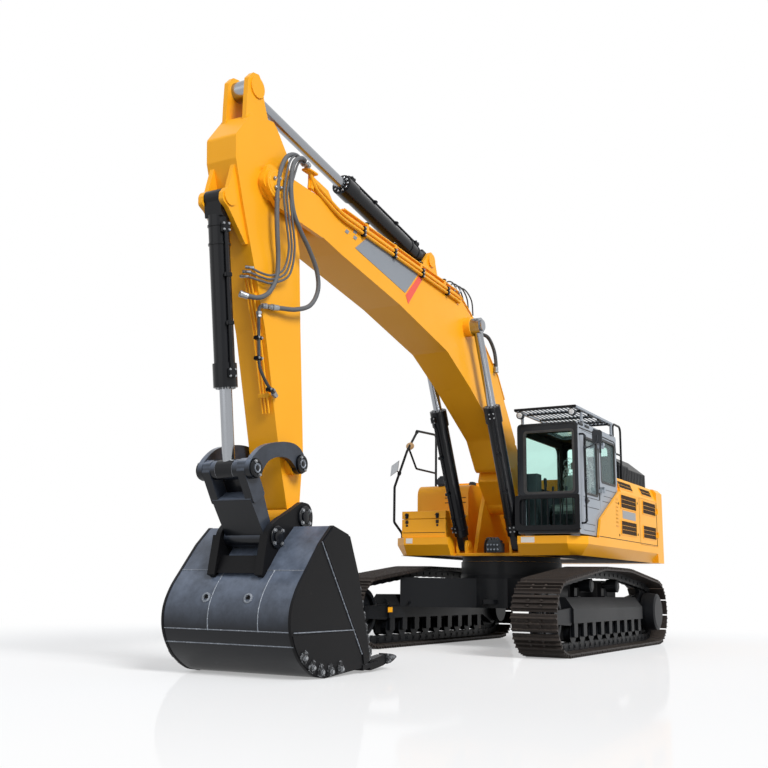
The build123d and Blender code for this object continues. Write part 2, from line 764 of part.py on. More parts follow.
guard_rise = 200          # top of the roof guard above the roof
guard_front = cab_front + 130
lamp_radius = 50
lamp_depth = 70
with BuildPart() as guard:
    for y in (cab_inner + 20, cab_outer + 5):
        slab(cab_rear + 200, guard_front, y - 17, y + 17, cab_top + guard_rise - 40,
             cab_top + guard_rise)
        for x in (cab_rear + 260, cab_front - 160):
            slab(x - 30, x + 30, y - 17, y + 17, cab_top, cab_top + guard_rise - 35)
    for i in range(10):
        x = cab_rear + 220 + i * (guard_front - 20 - cab_rear - 220) / 9
        slab(x - 20, x + 20, cab_inner + 20, cab_outer + 5, cab_top + guard_rise - 30,
             cab_top + guard_rise - 6)
save(guard, "roof_guard")


def lamp(x, y, z, radius):
    """A round work lamp that faces forward."""
    with BuildSketch(front(x - lamp_depth / 2)) as section:
        with Locations((y, z)):
            Circle(radius)
    extrude(section.sketch, amount=lamp_depth)


lamp_x = guard_front - 50
lamp_z = cab_top + guard_rise - 40 - lamp_radius - 6
with BuildPart() as lamps:
    for y in (cab_inner + 85, cab_outer - 45):
        lamp(lamp_x, y, lamp_z, lamp_radius)
        slab(guard_front - 40, guard_front - 15, y - 12, y + 12, lamp_z, cab_top + guard_rise - 30)
save(lamps, "cab_lamps")

guard_top = 2135          # upper bar of the guard before the lower window
with BuildPart() as guard:
    face = cab_front
    for z in (cab_bottom + 45, guard_top):
        slab(face, face + 60, cab_inner - 30, cab_outer + 30, z - 22, z + 22)
    for i in range(13):
        y = cab_inner - 18 + i * (cab_outer - cab_inner + 36) / 12
        slab(face + 30, face + 55, y - 9, y + 9, cab_bottom + 45, guard_top)
save(guard, "front_guard")

# ---------------------------------------------------------------- right deck
box_front = 1060
box_rear = 330
box_inner = -600
box_outer = 176 - deck_half
box_top = 1960
lid_depth = 120
lid_slope = 150           # the lid's side flanges rise towards its hinge
tank_rear = -740
tank_gap = 70             # room for the lid's rear edge to swing
tank_top = 2430

box_middle = (box_inner + box_outer) / 2
box_half = (box_inner - box_outer) / 2
box_wall = 25
box_pin = Plane(origin=(slew_x + box_rear, box_middle, box_top + knuckle_reach),
                x_dir=(1, 0, 0), z_dir=(0, -1, 0))

with BuildPart() as box:
    outline(side(box_middle),
            ((box_rear, deck_top), (box_front, deck_top), (box_front, box_top - lid_depth),
             (box_rear + lid_slope, box_top - lid_depth), (box_rear, box_top - box_wall - panel_gap)),
            8, box_half)
    slab(box_rear + box_wall, box_front - box_wall, box_inner - box_wall, box_outer + box_wall,
         deck_top + box_wall, box_top, mode=Mode.SUBTRACT)
    for y in (-200, 200):
        knuckle(box_pin, y + 50.3, y + 100,
                ((-18, -110), (2, -110), (2, -75), (-6, -75), (-6, 0), (-18, 0)))
save(box, "toolbox")

with BuildPart() as lid:
    outline(side(box_middle),
            ((box_rear, box_top), (box_front, box_top),
             (box_front, box_top - lid_depth + panel_gap),
             (box_rear + lid_slope, box_top - lid_depth + panel_gap),
             (box_rear, box_top - box_wall)), 8, box_half)
    slab(box_rear - 10, box_front - box_wall, box_inner - box_wall, box_outer + box_wall,
         deck_top, box_top - box_wall, mode=Mode.SUBTRACT)
    for y in (-200, 200):
        knuckle(box_pin, y - 50, y + 50, knuckle_leaf)
save(lid, "toolbox_lid")

with BuildPart() as tank:
    slab(tank_rear, box_rear - tank_gap, box_inner, -deck_half + 20, deck_top, tank_top)
    fillet(tank.edges().filter_by(Axis.Y).group_by(Axis.Z)[-1].sort_by(Axis.X)[-1], 160)
    slab(tank_rear + 12, box_rear - tank_gap - 200, box_inner - 12, -deck_half + 32,
         deck_top + 12, tank_top - 40, mode=Mode.SUBTRACT)
save(tank, "fuel_tank")

handrail_y = 66 - deck_half
handrail_rear = -300
with BuildPart() as rails:
    y = handrail_y
    rail(((deck_front - 175, y + 40, deck_top), (deck_front - 175, y + 40, deck_top + 70),
          (deck_front + 10, y, deck_top + 230), (deck_front + 10, y, 2330), (720, y, 2930),
          (370, y, 3300), (handrail_rear, y, 3330), (handrail_rear, y, tank_top)), 19, 60)
    rail(((655, y, 2980), (400, y, 2690), (handrail_rear, y, 2690)), 16, 60)
save(rails, "right_handrail")

grab_x = cab_front - 60   # the cab's grab rail and the mirror on it
grab_y = cab_outer + 80
grab_low, grab_high = 1740, 2980
with BuildPart() as rails:
    rail(((grab_x, cab_outer, grab_low), (grab_x, grab_y, grab_low), (grab_x, grab_y, grab_high),
          (grab_x, cab_outer, grab_high)), 14, 40)
save(rails, "cab_handrail")

with BuildPart() as mirror:
    x, y = grab_x, grab_y
    rail(((x, y + 16, 2780), (x, y + 90, 2800), (x - 50, y + 160, 2850)), 9, 20)
    slab(x - 75, x - 40, y + 90, y + 230, 2840, 3030)
save(mirror, "mirror_left")

with BuildPart() as mirror:
    y = handrail_y
    rail(((970, y, 2588), (1060, y - 10, 2600), (1085, y - 20, 2600)), 9, 10)
    slab(1070, 1100, y - 90, y + 70, 2500, 2740)
save(mirror, "mirror_right")

# ---------------------------------------------------------------- boom
plate_wall = 14
# outline of the boom's sides from its foot pin, u along the pins' line and v above it
boom_crest = (3120, 1610)
boom_slope_end = (boom_length - 1020, 590)
boom_top_line = ((560, 700), (1500, 1260), (2650, 1570), boom_crest)
boom_bottom_line = ((560, 60), (1150, 430), (2300, 600), (3100, 668), (4440, 455))
tip_box = 780             # the box section ends this far behind the tip pin
tip_radius = 215
foot_radius = 200

with BuildPart() as boom:
    plane = link_plane(boom_foot, boom_angle)
    shape = (*boom_bottom_line, (boom_length - 1300, 150), (boom_length - tip_box, 60),
             (boom_length - tip_box, 505), boom_slope_end, *reversed(boom_top_line))
    outline(plane, shape, 120, boom_half)
    outline(plane, ((0, -foot_radius), (560, 60), (560, 700), (-foot_radius * 0.8, foot_radius * 0.75)),
            30, boom_half)
    disc(plane, foot_radius, boom_half)
    with BuildSketch(plane) as inner:
        with BuildLine():
            FilletPolyline(*shape, radius=120, close=True)
        make_face()
        offset(amount=-plate_wall)
    extrude(amount=boom_half - plate_wall, both=True, mode=Mode.SUBTRACT)
    for s in (-1, 1):
        ear = link_plane(boom_foot, boom_angle, s * (boom_half - 25))
        outline(ear, ((boom_length - tip_box - 200, 90), (boom_length - 150, -tip_radius + 40),
                      (boom_length + 170, -110), (boom_length + 170, 130),
                      (boom_length - 60, tip_radius), (boom_length - tip_box - 200, 560)), 70, 25)
        disc(link_plane(boom_tip, 0, s * (boom_half + 8)), 150, 20)
        boss = cylinder_half - rod_eye_half - pin_gap - boom_half
        disc(link_plane(boom_rod_pin, 0, s * (boom_half + boss / 2 - weld_overlap)), 135,
             boss / 2 + weld_overlap)
        plate = s * (100 + pin_gap + 22)
        base = link_plane(arm_base_pin, boom_angle, plate)
        outline(base, ((-560, -420), (310, -560), (90, 60), (40, 115), (-60, 110), (-130, 40)),
                35, 22)
        disc(link_plane(arm_base_pin, 0, s * (100 + pin_gap + 32)), 90, 32)
save(boom, "boom")

pipe_radius = 12
crest_fall = (boom_slope_end[1] - boom_crest[1]) / (boom_slope_end[0] - boom_crest[0])
crest_slope = degrees(atan2(crest_fall, 1))
rise_slope = degrees(atan2(boom_top_line[2][1] - boom_top_line[1][1],
                           boom_top_line[2][0] - boom_top_line[1][0]))


def pipe(pin, angle, points, y, radius, bend):
    """A rigid pipe along a link, through points (u, v)."""
    route = [on_link(pin, angle, u, v) for u, v in points]
    rail([(point.X, y, point.Y) for point in route], radius, bend)


def clamp(pin, angle, u, v, slope, y, half, height):
    """A pipe clamp that stands on a link's plate."""
    outline(link_plane(on_link(pin, angle, u, v), angle + slope, y),
            ((-22, pin_gap), (22, pin_gap), (22, height), (-22, height)), 6, half)


with BuildPart() as pipes:
    for y in (188, 217, 246):
        pipe(boom_foot, boom_angle,
             ((1150, 1106), (1500, 1314), (2650, 1622), (3120, 1662), (5950, 697)),
             y, pipe_radius, 140)
    for u, v, slope in ((1700, 1314, rise_slope), (2450, 1516, rise_slope)):
        clamp(boom_foot, boom_angle, u, v, slope, 217, 42, 70)
    for u in (3500, 4150, 4800, 5450):
        v = boom_crest[1] + (u - boom_crest[0]) * crest_fall
        clamp(boom_foot, boom_angle, u, v, crest_slope, 217, 42, 70)
save(pipes, "boom_pipes")

with BuildPart() as lamps:
    lamp(1930, boom_half + 46, 4470, 42)
    slab(1905, 1955, boom_half, boom_half + 60, 4412, 4430)
save(lamps, "boom_lamp")

# ---------------------------------------------------------------- arm
with BuildPart() as arm:
    plane = link_plane(boom_tip, arm_angle)
    shape = ((-690, 190), (-430, 470), (-190, 500), (250, 440), (780, 350), (1480, 235),
             (arm_length - 520, 150), (arm_length - 60, 95), (arm_length - 60, -110),
             (arm_length - 640, -262), (1455, -390), (640, -485), (-370, -405), (-640, -240),
             (-690, -190))
    outline(plane, shape, 60, arm_half)
    with BuildSketch(plane) as inner:
        with BuildLine():
            FilletPolyline(*shape, radius=60, close=True)
        make_face()
        offset(amount=-plate_wall)
    extrude(amount=arm_half - plate_wall, both=True, mode=Mode.SUBTRACT)
    disc(link_plane(boom_tip), 165, boom_half - 50 - pin_gap)
    for s in (-1, 1):
        plate = s * (100 + pin_gap + 25)
        outline(link_plane(boom_tip, arm_angle, plate),
                ((-1150, -40), (-1150, 60), (-1080, 150), (-860, 200), (-560, 260), (-560, -150),
                 (-650, -150), (-900, -95), (-1080, -80)), 30, 25)
        disc(link_plane(arm_rod_pin, 0, s * (100 + pin_gap + 32)), 110, 32)
        outline(link_plane(boom_tip, arm_angle, plate),
                ((-260, 430), (130, 620), (160, 700), (250, 720), (310, 640), (760, 330), (200, 400)),
                40, 25)
        disc(link_plane(bucket_base_pin, 0, s * (100 + pin_gap + 32)), 90, 32)
    disc(link_plane(arm_tip), 130, ear_outer - ear_plate - pin_gap)
    disc(link_plane(rocker_pin), 110, ear_outer - ear_plate - pin_gap)
save(arm, "arm")

with BuildPart() as pipes:
    for y in (60, 98, 136):
        pipe(boom_tip, arm_angle, ((900, 362), (1480, 269), (2300, 216)), y, 11, 200)
    for u, v in ((1130, 292.5), (2120, 194.8)):
        slope = degrees(atan2(-115, 700)) if u < 1480 else degrees(atan2(-85, arm_length - 2000))
        clamp(boom_tip, arm_angle, u, v, slope, 98, 60, 44)
save(pipes, "arm_pipes")

# ---------------------------------------------------------------- bucket
# outline of the bucket from its pin on the arm, as (x, z)
bucket_back = ((170, -105), (365, -280), (545, -495), (715, -705), (806, -900), (790, -1110),
               (660, -1320), (440, -1470))
bucket_drop = 1503        # from the bucket's pin down to its floor
bucket_floor = (240, -bucket_drop)
edge_top = (-500, -1440)

with BuildPart() as bucket:
    plane = link_plane(arm_tip)
    shape = (*bucket_back, bucket_floor, edge_top, (-520, -1330), (-310, -560), (-135, -175))
    outline(plane, shape, 55, bucket_half)
    inner = ((150, -150), (338, -310), (517, -525), (686, -730), (775, -900), (760, -1100),
             (640, -1295), (420, -1440), (240, 30 - bucket_drop), (-900, -1395), (-900, -150))
    outline(plane, inner, 50, bucket_half - bucket_plate, mode=Mode.SUBTRACT)
    for s in (-1, 1):
        ear = link_plane(arm_tip, 0, s * (ear_outer - ear_plate / 2))
        outline(ear, ((-130, -180), (-150, 60), (-60, 140), (70, 140), (480, -60), (600, -180),
                      (590, -290), (480, -420), (250, -300)), 45, ear_plate / 2)
        for pin in (arm_tip, bucket_link_pin):
            disc(link_plane(pin, 0, s * ear_outer), 105, 14)
        # side cutter along the mouth
        outline(link_plane(arm_tip, 0, s * (bucket_half + 8)),
                ((-560, -1330), (-400, -1330), (-170, -560), (-330, -560)), 20, 12)
    # cutting edge and teeth
    slab_plane = link_plane(arm_tip)
    outline(slab_plane, ((-440, -1475), (-440, -1425), (-760, -1400), (-800, -1418)), 6,
            bucket_half + 10)
    for i in range(5):
        y = (i - 2) * (2 * bucket_half - 120) / 4
        outline(link_plane(arm_tip, 0, y), ((-700, -1475), (-700, -1370), (-960, -1345),
                                            (-1177, -1366), (-1180, -1385), (-960, -1445)), 8, 60)
save(bucket, "bucket")

# ---------------------------------------------------------------- rocker and link
rocker_length = (rocker_end - rocker_pin).length
rocker_angle = degrees(atan2((rocker_end - rocker_pin).Y, (rocker_end - rocker_pin).X))
link_vector = rocker_end - bucket_link_pin
link_angle = degrees(atan2(link_vector.Y, link_vector.X))
link_half = ear_outer - ear_plate - pin_gap

with BuildPart() as rocker:
    for s in (-1, 1):
        plate = link_plane(rocker_pin, rocker_angle, s * (ear_outer - ear_plate / 2))
        outline(plate, ((-110, -60), (-110, 70), (60, 190), (rocker_length / 2, 230),
                        (rocker_length - 40, 170), (rocker_length + 110, 60),
                        (rocker_length + 110, -60), (rocker_length - 100, -110),
                        (rocker_length / 2, 60), (120, -80)), 40, ear_plate / 2)
        for pin in (rocker_pin, rocker_end):
            disc(link_plane(pin, 0, s * ear_outer), 100, 14)
save(rocker, "rocker")

with BuildPart() as link:
    plane = link_plane(bucket_link_pin, link_angle)
    disc(plane, 92, link_half)
    length = link_vector.length
    outline(plane, ((50, -70), (50, 70), (length - 260, 105), (length - 260, -105)), 20,
            link_half - 20)
    for s in (-1, 1):
        fork = link_plane(bucket_link_pin, link_angle, s * (link_half - 45))
        outline(fork, ((length - 320, -95), (length - 320, 95), (length + 20, 100),
                       (length + 95, 40), (length + 95, -40), (length + 20, -100)), 30, 45)
        boss = link_half - 100 - pin_gap
        disc(link_plane(rocker_end, 0, s * (link_half - boss / 2)), 92, boss / 2)
save(link, "bucket_link")


# ---------------------------------------------------------------- hydraulic cylinders
def aimed(start, end, y):
    """Cross plane at a pin, its normal along the line to the other pin."""
    aim = end - start
    direction = (aim.X, 0, aim.Y)
    return Plane(origin=(slew_x + start.X, y, start.Y), x_dir=(0, 1, 0), z_dir=direction)


def rod_length(plane, radius, start, end, mode=Mode.ADD):
    with BuildSketch(plane.offset(start)) as section:
        Circle(radius)
    extrude(section.sketch, amount=end - start, mode=mode)


def barrel(base, end, y, radius, rod, length, eye_radius, eye_half):
    """Base eye, neck, tube and screwed head, bored for the piston and the rod."""
    axis = aimed(base, end, y)
    aim = end - base
    angle = degrees(atan2(aim.Y, aim.X))
    disc(link_plane(base, angle, y), eye_radius, eye_half)
    outline(link_plane(base, angle, y), ((0, -radius * 0.8), (neck + 20, -radius * 0.8),
                                         (neck + 20, radius * 0.8), (0, radius * 0.8)), 10, eye_half)
    rod_length(axis, radius, neck, length)
    rod_length(axis, radius + head_step, length - head_length, length)
    rod_length(axis, radius - barrel_wall, neck + 25, length - gland, mode=Mode.SUBTRACT)
    rod_length(axis, rod + rod_fit, length - gland - 5, length + 5, mode=Mode.SUBTRACT)


def piston_rod(base, end, y, radius, rod, reach, eye_radius, eye_half):
    """Eye on its pin, rod, and a piston in the barrel, reach back from the pin."""
    axis = aimed(end, base, y)
    aim = base - end
    angle = degrees(atan2(aim.Y, aim.X))
    disc(link_plane(end, angle, y), eye_radius, eye_half)
    rod_length(axis, rod, eye_radius * 0.6, reach)
    rod_length(axis, radius - barrel_wall - rod_fit, reach - piston, reach)


neck = 170
barrel_wall = 18
head_length = 230
head_step = 16
gland = 120               # the head's solid length round the rod
piston = 60
rod_fit = 0.3

for name, s in sides:
    with BuildPart() as tube:
        barrel(boom_base_pin, boom_rod_pin, s * cylinder_half, 105, 62, 2085, 80, barrel_eye_half)
    save(tube, f"boom_cylinder_{name}")
    with BuildPart() as rod:
        piston_rod(boom_base_pin, boom_rod_pin, s * cylinder_half, 105, 62, 2000, 110, rod_eye_half)
        disc(link_plane(boom_rod_pin, 0, s * (cylinder_half + rod_eye_half + 15)), 75, 15)
    save(rod, f"boom_cylinder_rod_{name}")

with BuildPart() as tube:
    barrel(arm_base_pin, arm_rod_pin, 0, 110, 65, 2080, 95, 100)
save(tube, "arm_cylinder")
with BuildPart() as rod:
    piston_rod(arm_base_pin, arm_rod_pin, 0, 110, 65, 2400, 105, 100)
save(rod, "arm_cylinder_rod")

with BuildPart() as tube:
    barrel(bucket_base_pin, rocker_end, 0, 100, 60, 1830, 90, 100)
save(tube, "bucket_cylinder")
with BuildPart() as rod:
    piston_rod(bucket_base_pin, rocker_end, 0, 100, 60, 1830, 95, 100)
save(rod, "bucket_cylinder_rod")
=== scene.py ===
import json
from math import atan, atan2, copysign, cos, hypot, pi, radians, sin

import bmesh
import bpy
from mathutils import Matrix, Vector, noise


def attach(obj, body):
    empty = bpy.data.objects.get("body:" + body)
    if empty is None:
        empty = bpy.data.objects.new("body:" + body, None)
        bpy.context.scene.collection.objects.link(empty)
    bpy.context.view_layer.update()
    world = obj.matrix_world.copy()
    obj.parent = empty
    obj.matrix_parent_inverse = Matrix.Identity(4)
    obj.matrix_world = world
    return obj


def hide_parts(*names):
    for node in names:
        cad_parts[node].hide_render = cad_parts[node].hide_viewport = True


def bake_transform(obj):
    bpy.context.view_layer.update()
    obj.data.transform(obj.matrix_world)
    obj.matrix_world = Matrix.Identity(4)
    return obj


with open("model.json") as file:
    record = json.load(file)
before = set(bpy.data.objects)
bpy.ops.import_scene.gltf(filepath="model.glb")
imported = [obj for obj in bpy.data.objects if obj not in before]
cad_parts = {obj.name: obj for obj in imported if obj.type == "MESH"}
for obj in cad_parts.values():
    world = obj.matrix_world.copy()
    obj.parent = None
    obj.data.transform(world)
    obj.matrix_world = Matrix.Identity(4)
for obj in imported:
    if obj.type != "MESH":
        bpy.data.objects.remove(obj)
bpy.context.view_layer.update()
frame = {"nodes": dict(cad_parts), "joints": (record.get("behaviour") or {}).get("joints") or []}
nodes = frame["nodes"]
scene = bpy.context.scene
print("frame loaded:", len(nodes), "nodes")

# stage
cameraSettings = {
    "place": (12.5435, 5.8883, 0.8281),
    "heading": 209.58,      # degrees from +X, seen from above
    "tilt": 11.568,         # upwards
    "roll": 0.838,
    "lens": 46.62,
}
lightSettings = {
    "keyFrom": (0.36, 0.78, 0.6),
    "keyStrength": 2.9,
    "keyAngle": 24,
    "fillFrom": (0.95, -0.1, 0.35),
    "fillStrength": 0.55,
    "ambient": 0.44,
}
floorSettings = {"size": 90, "colour": "#FAFAFA", "bounce": "#8A8A8A", "clearFrom": 5.5,
                 "clearTo": 12.0, "nearClear": 0.35, "gloss": 0.16}


def linear(hexColour):
    values = [int(hexColour[i:i + 2], 16) / 255 for i in (1, 3, 5)]
    return tuple(v / 12.92 if v <= 0.04045 else ((v + 0.055) / 1.055) ** 2.4
                 for v in values) + (1.0,)


def add(tree, kind, settings=None, links=None):
    # a node with its settings and links; a node given as a link lends its first output
    node = tree.nodes.new(kind)
    for key, value in (settings or {}).items():
        if isinstance(key, int) or key in node.inputs:
            node.inputs[key].default_value = value
        else:
            setattr(node, key, value)
    for key, source in (links or {}).items():
        if isinstance(source, bpy.types.Node):
            source = source.outputs[0]
        tree.links.new(source, node.inputs[key])
    return node


def emptyMaterial(name):
    material = bpy.data.materials.new(name)
    material.use_nodes = True
    material.node_tree.nodes.clear()
    return material, material.node_tree


def aim(obj, place, direction):
    obj.location = place
    obj.rotation_euler = Vector(direction).to_track_quat("-Z", "Y").to_euler()


def buildCamera():
    heading = radians(cameraSettings["heading"])
    tilt = radians(cameraSettings["tilt"])
    roll = radians(cameraSettings["roll"])
    forward = Vector((cos(heading) * cos(tilt), sin(heading) * cos(tilt), sin(tilt)))
    right = forward.cross(Vector((0, 0, 1))).normalized()
    up = right.cross(forward)
    turnedRight = right * cos(roll) + up * sin(roll)
    turnedUp = up * cos(roll) - right * sin(roll)
    data = bpy.data.cameras.new("camera")
    data.lens = cameraSettings["lens"]
    data.sensor_width = 36
    data.clip_end = 200
    camera = bpy.data.objects.new("camera", data)
    scene.collection.objects.link(camera)
    turn = Matrix((turnedRight, turnedUp, -forward)).transposed().to_4x4()
    camera.matrix_world = Matrix.Translation(cameraSettings["place"]) @ turn
    scene.camera = camera


def buildLights():
    for name in ("key", "fill"):
        data = bpy.data.lights.new(name, "SUN")
        data.energy = lightSettings[name + "Strength"]
        data.angle = radians(lightSettings["keyAngle"] if name == "key" else 60)
        lamp = bpy.data.objects.new(name, data)
        scene.collection.objects.link(lamp)
        aim(lamp, (0, 0, 12), -Vector(lightSettings[name + "From"]))
    world = bpy.data.worlds.new("studio")
    scene.world = world
    world.use_nodes = True
    tree = world.node_tree
    tree.nodes.clear()
    rays = add(tree, "ShaderNodeLightPath")
    seen = add(tree, "ShaderNodeMath", {"operation": "MAXIMUM"},
               {0: rays.outputs["Is Camera Ray"], 1: rays.outputs["Is Transmission Ray"]})
    shown = add(tree, "ShaderNodeMath", {"operation": "MAXIMUM"},
                {0: seen, 1: rays.outputs["Is Glossy Ray"]})
    ambient = add(tree, "ShaderNodeBackground",
                  {"Color": linear("#EEF3FA"), "Strength": lightSettings["ambient"]})
    white = add(tree, "ShaderNodeBackground", {"Color": (1, 1, 1, 1), "Strength": 1.0})
    mix = add(tree, "ShaderNodeMixShader", None, {0: shown, 1: ambient, 2: white})
    add(tree, "ShaderNodeOutputWorld", None, {"Surface": mix})


def buildFloor():
    size = floorSettings["size"] / 2
    mesh = bpy.data.meshes.new("floor")
    mesh.from_pydata([(-size, -size, 0), (size, -size, 0), (size, size, 0), (-size, size, 0)],
                     [], [(0, 1, 2, 3)])
    floor = bpy.data.objects.new("floor", mesh)
    scene.collection.objects.link(floor)
    material, tree = emptyMaterial("paleFloor")
    place = add(tree, "ShaderNodeTexCoord").outputs["Object"]
    reach = add(tree, "ShaderNodeVectorMath", {"operation": "LENGTH"}, {0: place})
    far = add(tree, "ShaderNodeMapRange",
              {"From Min": floorSettings["clearFrom"], "From Max": floorSettings["clearTo"],
               "To Min": floorSettings["nearClear"], "interpolation_type": "SMOOTHSTEP"},
              {"Value": reach.outputs["Value"]})
    rays = add(tree, "ShaderNodeLightPath")
    cameraOrGlass = add(tree, "ShaderNodeMath", {"operation": "MAXIMUM"},
                        {0: rays.outputs["Is Camera Ray"], 1: rays.outputs["Is Transmission Ray"]})
    direct = add(tree, "ShaderNodeMath", {"operation": "MAXIMUM"},
                 {0: cameraOrGlass, 1: rays.outputs["Is Glossy Ray"]})
    clear = add(tree, "ShaderNodeMath", {"operation": "MULTIPLY"}, {0: far, 1: direct})
    shade = add(tree, "ShaderNodeMix",
                {"data_type": "RGBA", 6: linear(floorSettings["bounce"]),
                 7: linear(floorSettings["colour"])}, {0: direct})
    matte = add(tree, "ShaderNodeBsdfDiffuse", None, {"Color": shade.outputs[2]})
    gloss = add(tree, "ShaderNodeBsdfGlossy", {"Color": (1, 1, 1, 1), "Roughness": 0.06})
    near = add(tree, "ShaderNodeMixShader", {0: floorSettings["gloss"]}, {1: matte, 2: gloss})
    white = add(tree, "ShaderNodeEmission", {"Color": (1, 1, 1, 1), "Strength": 1.0})
    mix = add(tree, "ShaderNodeMixShader", None, {0: clear, 1: near, 2: white})
    add(tree, "ShaderNodeOutputMaterial", None, {"Surface": mix})
    mesh.materials.append(material)


scene.view_settings.view_transform = "Standard"
buildCamera()
buildLights()
buildFloor()
print("stage built")

# finishes


def paintedSteel(name, paint):
    # sprayed polyurethane enamel: slow drift of tone between panels, fine orange peel under a
    # clear gloss, a pale colour where a face looks up (dust, and on the bucket's paint a painted
    # sky sheen), and bare or dark metal where it is rubbed
    material, tree = emptyMaterial(name)
    place = add(tree, "ShaderNodeTexCoord").outputs["Object"]
    drift = add(tree, "ShaderNodeTexNoise", {"Scale": 1 / paint["driftMetres"], "Detail": 3.0},
                {"Vector": place})
    tone = add(tree, "ShaderNodeMix",
               {"data_type": "RGBA", 6: linear(paint["colour"]), 7: linear(paint["deep"])},
               {0: drift})
    speck = add(tree, "ShaderNodeTexNoise",
                {"Scale": 1000 / paint["speckMm"], "Detail": 8.0, "Roughness": 0.7},
                {"Vector": place})
    rubbed = add(tree, "ShaderNodeMapRange",
                 {"From Min": paint["rubFrom"], "From Max": paint["rubFrom"] + 0.05},
                 {"Value": speck})
    worn = add(tree, "ShaderNodeMix", {"data_type": "RGBA", 7: linear(paint["rubColour"])},
               {0: rubbed, 6: tone.outputs[2]})
    facing = add(tree, "ShaderNodeNewGeometry")
    upright = add(tree, "ShaderNodeSeparateXYZ", None, {0: facing.outputs["Normal"]})
    # pale colour on faces that look up: dust, and on the bucket's blue-black a painted sky sheen
    dustAndSkySheenShare = add(tree, "ShaderNodeMapRange",
                 {"From Min": paint["dustAndSkySheenFrom"], "From Max": 1.0, "To Max": paint["dust"]},
                 {"Value": upright.outputs["Z"]})
    patchy = add(tree, "ShaderNodeMath", {"operation": "MULTIPLY"}, {0: dustAndSkySheenShare, 1: speck})
    withDustAndSkySheen = add(tree, "ShaderNodeMix", {"data_type": "RGBA", 7: linear(paint["dustAndSkySheenColour"])},
                {0: patchy, 6: worn.outputs[2]})
    sheen = add(tree, "ShaderNodeMapRange",
                {"To Min": paint["roughness"] - 0.05, "To Max": paint["roughness"] + 0.12},
                {"Value": drift})
    peel = add(tree, "ShaderNodeTexNoise", {"Scale": 1000 / paint["peelMm"], "Detail": 2.0},
               {"Vector": place})
    bump = add(tree, "ShaderNodeBump", {"Strength": paint["peel"], "Distance": 0.001},
               {"Height": peel})
    shader = add(tree, "ShaderNodeBsdfPrincipled",
                 {"Metallic": paint["metal"], "Coat Weight": paint["coat"],
                  "Coat Roughness": paint["coatRoughness"], "Specular IOR Level": paint["shine"]},
                 {"Base Color": withDustAndSkySheen.outputs[2], "Roughness": sheen, "Normal": bump})
    add(tree, "ShaderNodeOutputMaterial", None, {"Surface": shader})
    return material


basePaint = {
    "colour": "#FAB01E", "deep": "#F2A416", "driftMetres": 0.9, "speckMm": 60, "rubFrom": 0.9,
    "rubColour": "#6B5B45", "dust": 0.12, "dustAndSkySheenFrom": 0.35, "dustAndSkySheenColour": "#D9CDB8",
    "roughness": 0.38, "peel": 0.12, "peelMm": 9, "metal": 0.0, "coat": 0.1,
    "coatRoughness": 0.12, "shine": 0.22,
}
